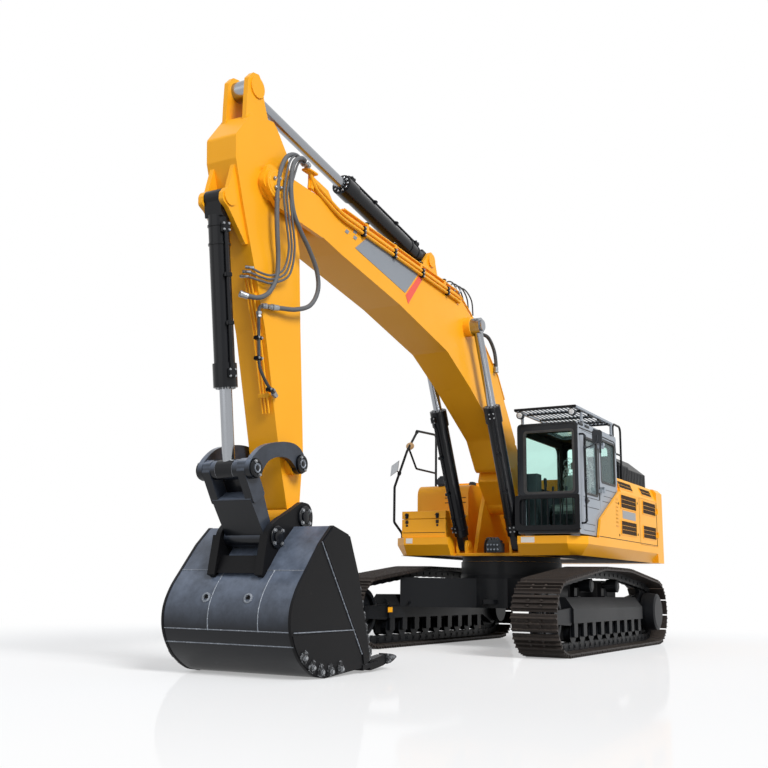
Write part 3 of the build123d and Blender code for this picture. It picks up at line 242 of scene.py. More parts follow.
# what each paint changes of the amber one
paints = {
    # amber machine enamel: warm, evenly glossy, hardly worn on a new machine
    "amberEnamel": {},
    # black frame enamel: semi-gloss, with a bluish tint painted in as sky reflection, and some
    # dust
    "frameBlack": {"colour": "#0B0C0F", "deep": "#131518", "dust": 0.22, "dustAndSkySheenColour": "#5A544C",
                   "roughness": 0.42, "coat": 0.06, "shine": 0.14},
    # black cylinder enamel: glossy and clean
    "cylinderBlack": {"colour": "#0B0C0F", "deep": "#101217", "dust": 0.08,
                      "dustAndSkySheenColour": "#5A5E66", "roughness": 0.26, "coat": 0.2, "shine": 0.14},
    # bucket enamel: blue-black over plate, with pale blue mixed in where it looks at the sky as a
    # painted sky reflection
    "bucketBlack": {"colour": "#0C0E13", "deep": "#12151B", "speckMm": 180, "rubFrom": 0.68,
                    "rubColour": "#3B4048", "dust": 0.95, "dustAndSkySheenFrom": -0.25,
                    "dustAndSkySheenColour": "#8D9AB0", "roughness": 0.3, "coat": 0.15, "peel": 0.25},
    # the bucket's sides, ears and edge: the same black, dull and nearly neutral
    "bucketDark": {"colour": "#08080A", "deep": "#0E0E10", "speckMm": 140, "rubFrom": 0.7,
                   "rubColour": "#3C3A38", "dust": 0.25, "dustAndSkySheenColour": "#6C717B",
                   "roughness": 0.45, "coat": 0.0, "peel": 0.25, "shine": 0.14},
    # teeth, shrouds and cutters: cast steel, rough, with the paint worn through in patches
    "wornSteel": {"colour": "#232324", "deep": "#3A3B3D", "driftMetres": 0.08, "speckMm": 30,
                  "rubFrom": 0.52, "rubColour": "#85878A", "dust": 0.2, "dustAndSkySheenColour": "#8A8A88",
                  "roughness": 0.48, "coat": 0.0, "metal": 0.4, "peel": 0.8, "peelMm": 14},
    # weld beads under thin paint: slightly rippled and lighter along the crown
    "weldSteel": {"colour": "#5B6068", "deep": "#8A9099", "driftMetres": 0.05, "speckMm": 12,
                  "rubFrom": 0.55, "rubColour": "#B5BAC2", "dust": 0.2, "dustAndSkySheenColour": "#A7ADB6",
                  "roughness": 0.4, "coat": 0.0, "metal": 0.3, "peel": 0.5, "peelMm": 6},
    # painted shade: near-black for openings and gaps, standing in for the darkness inside them
    "paintedShadeBlack": {"colour": "#050506", "deep": "#0A0A0B", "dust": 0.0, "dustAndSkySheenColour": "#202020",
                  "roughness": 0.7, "coat": 0.0, "shine": 0.14},
    # rolled and forged track steel: brown-black, dull, with lighter rubbed ribs
    "trackSteel": {"colour": "#2A2624", "deep": "#3A3431", "speckMm": 45, "rubFrom": 0.62,
                   "rubColour": "#57504A", "dust": 0.45, "dustAndSkySheenColour": "#7A7068",
                   "roughness": 0.5, "coat": 0.0, "metal": 0.35, "peel": 0.5},
    # flat grey and coral vinyl, stuck on the boom's paint
    "greyBand": {"colour": "#8D9298", "deep": "#858A91", "roughness": 0.45, "coat": 0.1},
    "coralStripe": {"colour": "#F0604F", "deep": "#E85848", "roughness": 0.45, "coat": 0.1},
    # silver-grey cab enamel, clean and smooth
    "cabSilver": {"colour": "#9AA1A9", "deep": "#8D949D", "dust": 0.15, "dustAndSkySheenColour": "#C0C4CA",
                  "roughness": 0.36},
    # charcoal enamel of the windscreen's mask
    "maskCharcoal": {"colour": "#1B1E22", "deep": "#24282D", "dust": 0.15,
                     "dustAndSkySheenColour": "#5A5E63", "roughness": 0.42, "coat": 0.08},
    # umber brown: painted shade in the louvres and under the deck, and the colour of the dark
    # seams
    "shadeAndSeamBrown": {"colour": "#3B2F26", "deep": "#463A30", "dust": 0.1, "dustAndSkySheenColour": "#7A6A58",
                    "roughness": 0.7, "coat": 0.0, "shine": 0.05},
    # blank white vinyl plates
    "palePlate": {"colour": "#E6E2DB", "deep": "#DAD4CA", "dust": 0.2, "dustAndSkySheenColour": "#BDB6AA",
                  "roughness": 0.4},
    # round mirror's face: amber as a painted reflection, under a clear coat that is bright at
    # grazing angles
    "mirrorReflectionAmber": {"colour": "#C9A77A", "deep": "#B98F5C", "dust": 0.1, "dustAndSkySheenColour": "#D8CDBE",
                   "roughness": 0.15, "coat": 0.6},
    # grained ABS mouldings: consoles, levers, mirror and lamp bodies
    "mouldedGrey": {"colour": "#2F3236", "deep": "#383C41", "dust": 0.1, "dustAndSkySheenColour": "#6A6D70",
                    "roughness": 0.55, "coat": 0.0, "peel": 0.5, "peelMm": 4},
    # brown-black trim fabric of the cab's inside
    "darkLining": {"colour": "#1C1815", "deep": "#27211C", "dust": 0.0, "dustAndSkySheenColour": "#3A332C",
                   "roughness": 0.85, "coat": 0.0, "peel": 0.8, "peelMm": 5},
}
finishes = {name: paintedSteel(name, {**basePaint, **change})
            for name, change in paints.items()}


def cabGlass(name, tint, lift):
    # tempered safety glass: clear with a mint tint and wiped dust; a grey-blue skin mixed in
    # towards grazing angles and by lift is a painted sky reflection
    material, tree = emptyMaterial(name)
    place = add(tree, "ShaderNodeTexCoord").outputs["Object"]
    wipes = add(tree, "ShaderNodeTexNoise", {"Scale": 6.0, "Detail": 6.0}, {"Vector": place})
    level = add(tree, "ShaderNodeMapRange", {"To Min": 0.0, "To Max": 0.09}, {"Value": wipes})
    clear = add(tree, "ShaderNodeBsdfTransparent", {"Color": linear(tint)})
    # grey-blue skin: its base colour is a painted sky reflection
    skin = add(tree, "ShaderNodeBsdfPrincipled",
               {"Base Color": linear("#8E9CA0"), "Specular IOR Level": 0.7}, {"Roughness": level})
    edge = add(tree, "ShaderNodeLayerWeight", {"Blend": 0.5})
    steep = add(tree, "ShaderNodeMath", {"operation": "POWER", 1: 5.0},
                {0: edge.outputs["Facing"]})
    shine = add(tree, "ShaderNodeMath", {"operation": "ADD", 1: lift}, {0: steep})
    mix = add(tree, "ShaderNodeMixShader", None, {0: shine, 1: clear, 2: skin})
    add(tree, "ShaderNodeOutputMaterial", None, {"Surface": mix})
    return material


def clearFilm():
    # thin polythene wrap: nearly clear, with bright creases
    material, tree = emptyMaterial("clearFilm")
    place = add(tree, "ShaderNodeTexCoord").outputs["Object"]
    folds = add(tree, "ShaderNodeTexNoise", {"Scale": 16.0, "Detail": 5.0, "Distortion": 1.2},
                {"Vector": place})
    crease = add(tree, "ShaderNodeMapRange", {"From Min": 0.42, "From Max": 0.62, "To Max": 0.8},
                 {"Value": folds})
    bump = add(tree, "ShaderNodeBump", {"Strength": 0.8, "Distance": 0.02}, {"Height": folds})
    clear = add(tree, "ShaderNodeBsdfTransparent", {"Color": linear("#F2F6F6")})
    skin = add(tree, "ShaderNodeBsdfPrincipled",
               {"Base Color": linear("#C9CDCC"), "Roughness": 0.15}, {"Normal": bump})
    mix = add(tree, "ShaderNodeMixShader", None, {0: crease, 1: clear, 2: skin})
    add(tree, "ShaderNodeOutputMaterial", None, {"Surface": mix})
    return material


def seatFabric():
    # woven polyester seat cover: 4 mm ribs, matt, with a soft sheen at its edges
    material, tree = emptyMaterial("seatFabric")
    place = add(tree, "ShaderNodeTexCoord").outputs["Object"]
    weave = add(tree, "ShaderNodeTexWave",
                {"wave_type": "BANDS", "bands_direction": "Y", "Scale": 80.0, "Distortion": 0.6},
                {"Vector": place})
    mottle = add(tree, "ShaderNodeTexNoise", {"Scale": 60.0, "Detail": 6.0}, {"Vector": place})
    tone = add(tree, "ShaderNodeMix",
               {"data_type": "RGBA", 6: linear("#7B807D"), 7: linear("#9BA09C")}, {0: mottle})
    bump = add(tree, "ShaderNodeBump", {"Strength": 0.5, "Distance": 0.0015},
               {"Height": weave.outputs["Fac"]})
    shader = add(tree, "ShaderNodeBsdfPrincipled",
                 {"Roughness": 0.85, "Sheen Weight": 0.3, "Sheen Roughness": 0.5},
                 {"Base Color": tone.outputs[2], "Normal": bump})
    add(tree, "ShaderNodeOutputMaterial", None, {"Surface": shader})
    return material


def lampLens():
    # pressed lamp glass: pale, bright and ribbed
    material, tree = emptyMaterial("lampLens")
    place = add(tree, "ShaderNodeTexCoord").outputs["Object"]
    ribs = add(tree, "ShaderNodeTexWave", {"bands_direction": "Y", "Scale": 60.0},
               {"Vector": place})
    bump = add(tree, "ShaderNodeBump", {"Strength": 0.7, "Distance": 0.002},
               {"Height": ribs.outputs["Fac"]})
    shader = add(tree, "ShaderNodeBsdfPrincipled",
                 {"Base Color": linear("#D5D8DA"), "Roughness": 0.12, "Coat Weight": 0.8},
                 {"Normal": bump})
    add(tree, "ShaderNodeOutputMaterial", None, {"Surface": shader})
    return material


def brightMetal(name, metal):
    # bare or plated metal: fine grain that dulls it a little and shifts its tone
    material, tree = emptyMaterial(name)
    place = add(tree, "ShaderNodeTexCoord").outputs["Object"]
    grain = add(tree, "ShaderNodeTexNoise", {"Scale": metal["scale"], "Detail": metal["detail"]},
                {"Vector": place})
    level = add(tree, "ShaderNodeMapRange",
                {"To Min": metal["roughness"][0], "To Max": metal["roughness"][1]},
                {"Value": grain})
    tone = add(tree, "ShaderNodeMix",
               {"data_type": "RGBA", 6: linear(metal["colour"]), 7: linear(metal["deep"])},
               {0: grain})
    shader = add(tree, "ShaderNodeBsdfPrincipled", {"Metallic": metal["metal"]},
                 {"Base Color": tone.outputs[2], "Roughness": level})
    add(tree, "ShaderNodeOutputMaterial", None, {"Surface": shader})
    return material


def hoseRubber(name, colour, band):
    # hydraulic hose under a spiral guard: dull moulded rubber with a fine ribbed skin
    material, tree = emptyMaterial(name)
    place = add(tree, "ShaderNodeTexCoord").outputs["Object"]
    ribs = add(tree, "ShaderNodeTexWave",
               {"wave_type": "BANDS", "bands_direction": "Z", "Scale": 1000 / band,
                "Distortion": 1.5, "Detail": 1.0}, {"Vector": place})
    dust = add(tree, "ShaderNodeTexNoise", {"Scale": 9.0, "Detail": 6.0}, {"Vector": place})
    part = add(tree, "ShaderNodeMapRange", {"To Max": 0.35}, {"Value": dust})
    tone = add(tree, "ShaderNodeMix",
               {"data_type": "RGBA", 6: linear(colour), 7: linear("#6F6E6C")}, {0: part})
    bump = add(tree, "ShaderNodeBump", {"Strength": 0.6, "Distance": 0.002},
               {"Height": ribs.outputs["Fac"]})
    shader = add(tree, "ShaderNodeBsdfPrincipled", {"Roughness": 0.62},
                 {"Base Color": tone.outputs[2], "Normal": bump})
    add(tree, "ShaderNodeOutputMaterial", None, {"Surface": shader})
    return material


# zinc-plated steel of bolts and fittings: bright, grainy, a little duller and darker in random
# patches
finishes["plainSteel"] = brightMetal("plainSteel", {
    "colour": "#B4B7BA", "deep": "#7E8083", "scale": 140.0, "detail": 5.0,
    "roughness": (0.22, 0.5), "metal": 0.9})
# hard chrome on a ground rod: mirror bright with faint grinding rings
finishes["hardChrome"] = brightMetal("hardChrome", {
    "colour": "#9C9FA4", "deep": "#9C9FA4", "scale": 220.0, "detail": 4.0,
    "roughness": (0.12, 0.3), "metal": 1.0})
# grey guard over the long hoses, and bare black hose
finishes["hoseGuard"] = hoseRubber("hoseGuard", "#54565A", 30)
finishes["hoseBlack"] = hoseRubber("hoseBlack", "#1A1B1D", 24)
finishes["tintedGlass"] = cabGlass("tintedGlass", "#F3FFFC", 0.0)
# the side panes' higher lift mixes in more of the painted sky reflection
finishes["sideGlass"] = cabGlass("sideGlass", "#F8FFFE", 0.26)
finishes["clearFilm"] = clearFilm()
finishes["seatFabric"] = seatFabric()
finishes["lampLens"] = lampLens()

# finish of each CAD node; a star stands for left and right
nodeFinishes = {
    "amberEnamel": ("arm", "boom", "engine_door_*", "engine_hood", "hood_lid", "fuel_tank",
                    "revolving_frame", "side_panel_*", "toolbox", "toolbox_lid",
                    "counterweight", "boom_pipes", "arm_pipes"),
    "trackSteel": ("track_*",),
    "frameBlack": ("carbody", "carbody_legs", "slew_bearing", "track_frame_*", "idler_*",
                   "final_drive_*", "bottom_rollers_*", "carrier_rollers_*", "front_guard",
                   "roof_guard", "right_handrail", "cab_handrail", "engine_block",
                   "cab_rear_rail", "air_boxes", "mirror_*"),
    "cylinderBlack": ("boom_cylinder_*", "arm_cylinder", "bucket_cylinder"),
    "bucketBlack": ("bucket", "rocker", "bucket_link"),
    "cabSilver": ("cab_body", "cab_door"),
    "mouldedGrey": ("seat", "control_consoles", "cab_lamps", "boom_lamp"),
    "hardChrome": ("boom_cylinder_rod_*", "arm_cylinder_rod", "bucket_cylinder_rod"),
    "tintedGlass": ("cab_glass",),
    "sideGlass": ("cab_door_glass",),
}
for finish, members in nodeFinishes.items():
    for member in members:
        for side in ("left", "right") if "*" in member else ("",):
            slots = nodes[member.replace("*", side)].data.materials
            slots.clear()
            slots.append(finishes[finish])
print("finishes assigned:", len(finishes))

# shared tools
pins = {joint["name"]: Vector(joint["pos_m"]) for joint in frame["joints"] if "pos_m" in joint}
slewX = pins["slewing"].x
boomFoot, boomTip = pins["boom_hinge"], pins["arm_hinge"]
armTip, rockerPin = pins["bucket_hinge"], pins["rocker_hinge"]
linkPin = pins["bucket_link_hinge"]
boomAlong = (boomTip - boomFoot).normalized()


def across(along):
    return Vector((-along.z, 0, along.x))


def onBoom(u, v, y):
    return boomFoot + boomAlong * u + across(boomAlong) * v + Vector((0, y, 0))


def fromSlew(x, y, z):
    return Vector((slewX + x, y, z))


# the CAD slot that a finish stands in for
usualSlots = {finish: slot for slot, group in {
    "yellow_paint": ("amberEnamel", "coralStripe", "greyBand"),
    "attachment_black": ("bucketBlack", "bucketDark", "weldSteel", "wornSteel"),
    "black_paint": ("frameBlack", "cylinderBlack", "hoseBlack", "hoseGuard", "shadeAndSeamBrown",
                    "mouldedGrey", "darkLining", "mirrorReflectionAmber"),
    "cab_grey": ("maskCharcoal", "cabSilver"), "glass": ("clearFilm", "lampLens"),
    "chrome_rod": ("plainSteel",), "track_steel": ("trackSteel",), "seat_cloth": ("seatFabric",),
}.items() for finish in group}


def finishMesh(name, mesh, finish, body, replaced=(), slot=None, soften=35):
    for polygon in mesh.polygons:
        polygon.use_smooth = True
    mesh.set_sharp_from_angle(angle=radians(soften))
    if finish:
        mesh.materials.clear()
        mesh.materials.append(finishes[finish])
    piece = bpy.data.objects.new(name, mesh)
    scene.collection.objects.link(piece)
    if body:
        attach(piece, body)
    if replaced:
        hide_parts(*replaced)
    slot = slot or usualSlots.get(finish)
    return piece


def solidMesh(name, bm):
    bmesh.ops.recalc_face_normals(bm, faces=bm.faces)
    mesh = bpy.data.meshes.new(name)
    bm.to_mesh(mesh)
    bm.free()
    return mesh


def finishPiece(name, bm, finish, body, replaced=(), slot=None, soften=35):
    return finishMesh(name, solidMesh(name, bm), finish, body, replaced, slot, soften)


def addBox(bm, low, high, turn=None, edge=0.0):
    low, high = Vector(low), Vector(high)
    middle, size = (low + high) / 2, high - low
    place = Matrix.Translation(middle)
    if turn:
        place = place @ turn.to_4x4()
    made = bmesh.ops.create_cube(bm, size=1.0, matrix=place @ Matrix.Diagonal((*size, 1)))
    if edge:
        edges = list(dict.fromkeys(e for v in made["verts"] for e in v.link_edges))
        bmesh.ops.bevel(bm, geom=edges, offset=edge, segments=2, affect="EDGES")


def addBlock(bm, middle, half, turn=None, edge=0.0):
    # a box given by its middle and half sizes
    half = Vector(half)
    addBox(bm, middle - half, middle + half, turn, edge)


def slewBox(bm, low, high, edge=0.0, turn=None):
    addBox(bm, fromSlew(*low), fromSlew(*high), turn, edge)


def slewPoints(*spots):
    return [fromSlew(*spot) for spot in spots]


def frameFor(direction):
    direction = direction.normalized()
    side = direction.cross(Vector((0, 0, 1)))
    if side.length < 0.05:
        side = direction.cross(Vector((1, 0, 0)))
    side.normalize()
    return side, side.cross(direction)


def addRing(bm, middle, side, up, radius, sides):
    return [bm.verts.new(middle + (side * cos(a) + up * sin(a)) * radius)
            for a in (2 * pi * k / sides for k in range(sides))]


def skinRings(bm, rings, capped=True):
    # walls between rings of as many points, and flat ends
    count = len(rings[0])
    for low, high in zip(rings, rings[1:]):
        for k in range(count):
            bm.faces.new((low[k], low[(k + 1) % count], high[(k + 1) % count], high[k]))
    if capped:
        bm.faces.new(rings[0][::-1])
        bm.faces.new(rings[-1])


def addTube(bm, points, radius, sides=12, capped=True):
    # a swept tube, its section carried along the path without twisting
    points = [Vector(p) for p in points]
    radii = radius if isinstance(radius, (list, tuple)) else [radius] * len(points)
    side = frameFor((points[1] - points[0]).normalized())[0]
    rings = []
    for i, point in enumerate(points):
        ahead = points[min(i + 1, len(points) - 1)] - points[max(i - 1, 0)]
        ahead.normalize()
        side = (side - ahead * side.dot(ahead)).normalized()
        rings.append(addRing(bm, point, side, side.cross(ahead), radii[i], sides))
    skinRings(bm, rings, capped)


def addTurned(bm, centre, axis, profile, sides=24, capped=True):
    # a turned part: (offset along the axis, radius) pairs
    axis = Vector(axis).normalized()
    side, up = frameFor(axis)
    rings = [addRing(bm, Vector(centre) + axis * offset, side, up, radius, sides)
             for offset, radius in profile]
    skinRings(bm, rings, capped)


def addPrism(bm, outline, half, place):
    # an outline of (u, v) pairs, given thickness either side of its plane by place(u, v, y)
    skinRings(bm, [[bm.verts.new(place(u, v, w)) for u, v in outline] for w in (-half, half)])


def aroundPin(centre, y, radius, count, start):
    # places round a pin that lies across the machine, from an angle in degrees
    turns = (radians(start + 360 * k / count) for k in range(count))
    return [Vector((centre.x + radius * cos(turn), y, centre.z + radius * sin(turn)))
            for turn in turns]


def bentPath(points, bend, steps=6):
    # straight runs joined by round bends, as a bent pipe has
    points = [Vector(p) for p in points]
    path = [points[0]]
    for before, corner, after in zip(points, points[1:], points[2:]):
        into, out = (before - corner), (after - corner)
        reach = min(bend, into.length * 0.45, out.length * 0.45)
        start, end = corner + into.normalized() * reach, corner + out.normalized() * reach
        for k in range(steps + 1):
            t = k / steps
            path.append(start.lerp(corner, t).lerp(corner.lerp(end, t), t))
    path.append(points[-1])
    return path


def slackPath(points, steps=10):
    # a smooth free line through its points, as a hose lies
    points = [Vector(p) for p in points]
    ends = [points[0] * 2 - points[1], *points, points[-1] * 2 - points[-2]]
    path = []
    for a, b, c, d in zip(ends, ends[1:], ends[2:], ends[3:]):
        for k in range(steps):
            t = k / steps
            path.append(0.5 * ((2 * b) + (c - a) * t + (2 * a - 5 * b + 4 * c - d) * t * t
                               + (3 * b - a - 3 * c + d) * t ** 3))
    path.append(points[-1])
    return path


def pointMesh(name, places, turns):
    # bare points with the turn that a repeated shape takes on each
    mesh = bpy.data.meshes.new(name)
    mesh.from_pydata([tuple(p) for p in places], [], [])
    turn = mesh.attributes.new("turn", "FLOAT_VECTOR", "POINT")
    for item, value in zip(turn.data, turns):
        item.vector = value
    return mesh


def repeatTree(name):
    # a node group that puts a template on every point, turned by the point's own angles
    tree = bpy.data.node_groups.new(name, "GeometryNodeTree")
    tree.interface.new_socket("Points", in_out="INPUT", socket_type="NodeSocketGeometry")
    tree.interface.new_socket("Template", in_out="INPUT", socket_type="NodeSocketObject")
    tree.interface.new_socket("Size", in_out="INPUT", socket_type="NodeSocketFloat")
    tree.interface.new_socket("Finish", in_out="INPUT", socket_type="NodeSocketMaterial")
    tree.interface.new_socket("Repeated", in_out="OUTPUT", socket_type="NodeSocketGeometry")
    start = add(tree, "NodeGroupInput")
    template = add(tree, "GeometryNodeObjectInfo", None, {"Object": start.outputs["Template"]})
    turn = add(tree, "GeometryNodeInputNamedAttribute",
               {"data_type": "FLOAT_VECTOR", "Name": "turn"})
    angle = add(tree, "FunctionNodeEulerToRotation", None, {0: turn.outputs["Attribute"]})
    copies = add(tree, "GeometryNodeInstanceOnPoints", None,
                 {"Points": start.outputs["Points"], "Instance": template.outputs["Geometry"],
                  "Rotation": angle, "Scale": start.outputs["Size"]})
    solid = add(tree, "GeometryNodeRealizeInstances", None,
                {"Geometry": copies.outputs["Instances"]})
    painted = add(tree, "GeometryNodeSetMaterial", None,
                  {"Geometry": solid.outputs["Geometry"], "Material": start.outputs["Finish"]})
    add(tree, "NodeGroupOutput", None, {0: painted.outputs["Geometry"]})
    return tree


repeater = repeatTree("repeatOnPoints")


def evaluatedMesh(obj):
    depsgraph = bpy.context.evaluated_depsgraph_get()
    return bpy.data.meshes.new_from_object(obj.evaluated_get(depsgraph), depsgraph=depsgraph)


def repeatPiece(name, shape, places, turns, finish, body, replaced=(), slot=None, soften=35,
                size=1.0):
    # the shape's copies as one plain mesh
    carrier = bpy.data.objects.new(name + "Points", pointMesh(name + "Points", places, turns))
    scene.collection.objects.link(carrier)
    modifier = carrier.modifiers.new("repeat", "NODES")
    modifier.node_group = repeater
    values = {"Template": shape, "Size": size, "Finish": finishes[finish]}
    for item in repeater.interface.items_tree:
        if item.in_out == "INPUT" and item.name in values:
            modifier[item.identifier] = values[item.name]
    mesh = evaluatedMesh(carrier)
    mesh.name = name
    bpy.data.objects.remove(carrier)
    return finishMesh(name, mesh, None, body, replaced, slot or usualSlots[finish], soften)


templates = []


def template(name, bm):
    # a shape to be repeated, out of sight until it is dropped at the end
    obj = bpy.data.objects.new(name, solidMesh(name, bm))
    scene.collection.objects.link(obj)
    obj.hide_render = True
    templates.append(obj)
    return obj


def facing(direction):
    # turn that points a template's z along a direction
    return Vector(direction).to_track_quat("Z", "Y").to_euler()


def hexBolt():
    # a hexagon head on a round washer, across flats 1, to be scaled to size
    bm = bmesh.new()
    addTurned(bm, (0, 0, 0), (0, 0, 1), ((0, 0.72), (0.1, 0.72)), 14)
    addTurned(bm, (0, 0, 0.1), (0, 0, 1), ((0, 0.56), (0.5, 0.56), (0.58, 0.46)), 6)
    return template("hexBolt", bm)


bolt = hexBolt()


def boltSet(name, places, direction, size, finish, body, slot=None):
    if isinstance(direction, (list, tuple)) and isinstance(direction[0], (list, tuple, Vector)):
        turns = [facing(d) for d in direction]
    else:
        turns = [facing(direction)] * len(places)
    return repeatPiece(name, bolt, places, turns, finish, body, slot=slot, size=size)


def dropTemplates():
    for obj in templates:
        bpy.data.objects.remove(obj)


# tracks
trackPlan = {
    "gauge": 2.74, "shoeCount": 52, "shoeWidth": 0.6, "wheelbase": 4.42,
    "idlerRadius": 0.385, "sprocketRadius": 0.4, "carrierReach": 0.62,
    "carrierHeight": 0.9, "carrierRadius": 0.155, "seat": 0.052, "plate": 0.02,
    "grouser": 0.033, "grouserPitch": 0.07, "grouserTip": 0.01, "grouserRoot": 0.026,
    "linkGap": 0.068, "linkThick": 0.034, "boltAcross": 0.032,
}


def chainPins(plan):
    reach = plan["seat"] + plan["plate"] + plan["grouser"]
    half = plan["wheelbase"] / 2
    circles = ((half, reach + plan["idlerRadius"], plan["idlerRadius"]),
               (plan["carrierReach"], plan["carrierHeight"], plan["carrierRadius"]),
               (-plan["carrierReach"], plan["carrierHeight"], plan["carrierRadius"]),
               (-half, reach + plan["sprocketRadius"], plan["sprocketRadius"]))
    count = len(circles)
    leaves = []
    for i in range(count):
        (x0, z0, r0), (x1, z1, r1) = circles[i], circles[(i + 1) % count]
        span = hypot(x1 - x0, z1 - z0)
        leaves.append(atan2(z1 - z0, x1 - x0) - atan2(r1 - r0, span) - pi / 2)
    spans = []
    for i, (x, z, r) in enumerate(circles):
        start, end = leaves[i - 1], leaves[i]
        while end < start:
            end += 2 * pi
        nextX, nextZ, nextR = circles[(i + 1) % count]
        leave = Vector((x + r * cos(end), 0, z + r * sin(end)))
        land = Vector((nextX + nextR * cos(end), 0, nextZ + nextR * sin(end)))
        spans.append(("arc", Vector((x, 0, z)), r, start, (end - start) * r))
        spans.append(("run", leave, land, 0, (land - leave).length))
    total = sum(span[4] for span in spans)
    points = []
    for i in range(plan["shoeCount"]):
        s = total * i / plan["shoeCount"]
        for kind, a, b, start, length in spans:
            if s <= length:
                break
            s -= length
        if kind == "arc":
            turn = start + s / b
            points.append(a + Vector((cos(turn), 0, sin(turn))) * b)
        else:
            points.append(a.lerp(b, s / length))
    return points, total / plan["shoeCount"]


def shoeTemplate(plan, pitch):
    # rolled triple-grouser shoe: x along the chain, -z outwards
    seat, plate = -plan["seat"], -(plan["seat"] + plan["plate"])
    tip = plate - plan["grouser"]
    half = pitch / 2
    profile = [(-half + 0.012, seat), (-half + 0.004, seat - 0.004)]
    for k in (-1, 0, 1):
        middle = k * plan["grouserPitch"]
        root, crest = plan["grouserRoot"] / 2, plan["grouserTip"] / 2
        profile += [(middle - root, plate), (middle - crest, tip), (middle + crest, tip),
                    (middle + root, plate)]
    profile += [(half + 0.004, plate + 0.004), (half + 0.012, seat + 0.004), (half - 0.004, seat)]
    bm = bmesh.new()
    width = plan["shoeWidth"] / 2
    addPrism(bm, profile, width, lambda u, v, y: Vector((u, y, v)))
    return template("shoe", bm)


def linkTemplate(plan, pitch):
    # forged link: a waisted plate between two bosses, with pin ends showing
    half = pitch / 2
    outline = []
    for centre, start in ((half, -90), (-half, 90)):
        outline += [(centre + 0.056 * cos(radians(a)), 0.056 * sin(radians(a)))
                    for a in range(start, start + 181, 30)]
        outline.append((centre * 0.35, 0.047 if centre > 0 else -0.05))
    bm = bmesh.new()
    for s in (-1, 1):
        middle = s * (plan["linkGap"] / 2 + plan["linkThick"] / 2)
        addPrism(bm, outline, plan["linkThick"] / 2 - 0.003,
                 lambda u, v, y: Vector((u, middle + y + (s * 0.003 if u > 0 else -s * 0.003), v)))
        addTurned(bm, (half, middle, 0), (0, s, 0),
                  ((0, 0.024), (plan["linkThick"] / 2 + 0.006, 0.024),
                   (plan["linkThick"] / 2 + 0.009, 0.019)), 12)
    addTurned(bm, (half, -0.05, 0), (0, 1, 0), ((0, 0.032), (0.1, 0.032)), 12)
    return template("chainLink", bm)


def buildTracks():
    plan = trackPlan
    points, pitch = chainPins(plan)
    shoe, link = shoeTemplate(plan, pitch), linkTemplate(plan, pitch)
    for name, s in (("Left", 1), ("Right", -1)):
        offset = fromSlew(0, s * plan["gauge"] / 2, 0)
        places, turns, boltPlaces, boltTurns = [], [], [], []
        for i, pin in enumerate(points):
            following = points[(i + 1) % len(points)]
            along = (following - pin).normalized()
            out = Vector((along.z, 0, -along.x))
            middle = (pin + following) / 2 + offset
            places.append(middle)
            turns.append((0, -atan2(along.z, along.x), 0))
            for u in (-0.5, 0.5):
                for y in (-0.085, 0.085):
                    boltPlaces.append(middle + along * u * plan["grouserPitch"]
                                      + out * (plan["seat"] + plan["plate"]) + Vector((0, y, 0)))
                    boltTurns.append(out)
        whole = ("track_" + name.lower(),)
        repeatPiece("trackShoes" + name, shoe, places, turns, "trackSteel", "undercarriage", whole,
                    soften=25)
        repeatPiece("trackChain" + name, link, places, turns, "frameBlack", "undercarriage", whole,
                    "track_steel", 30)
        boltSet("shoeBolts" + name, boltPlaces, boltTurns, plan["boltAcross"], "trackSteel",
                "undercarriage")
    print("tracks built")


buildTracks()

# cylinders
cylinderPlan = {
    "glandLength": 0.165, "glandOver": 1.06, "headBolts": 10, "headBolt": 0.026,
    "pipeRadius": 0.015, "pipeStand": 0.032, "bands": (0.26, 0.44),
}
cylinders = (
    # base pin, rod's eye, length of the barrel, its radius, and the pipe: sideways, outwards,
    # where it starts and where it ends
    ("boomCylinderLeft", "boom_barrel_left", (0.813, 0.42, 1.45), (2.176, 0.42, 4.394),
     2.085, 0.105, (0.25, -1, 0.3, 1.98)),
    ("boomCylinderRight", "boom_barrel_right", (0.813, -0.42, 1.45), (2.176, -0.42, 4.394),
     2.085, 0.105, (-0.25, -1, 0.3, 1.98)),
    ("armCylinder", "arm_barrel", (3.05, 0, 5.12), (6.976, 0, 5.777), 2.08, 0.11,
     (0.35, 1, 0.3, 1.96)),
    ("bucketCylinder", "bucket_barrel", (7.327, 0, 4.48), (6.96, 0, 1.9), 1.83, 0.1,
     (0.9, 0.35, 0.3, 1.7)),
)


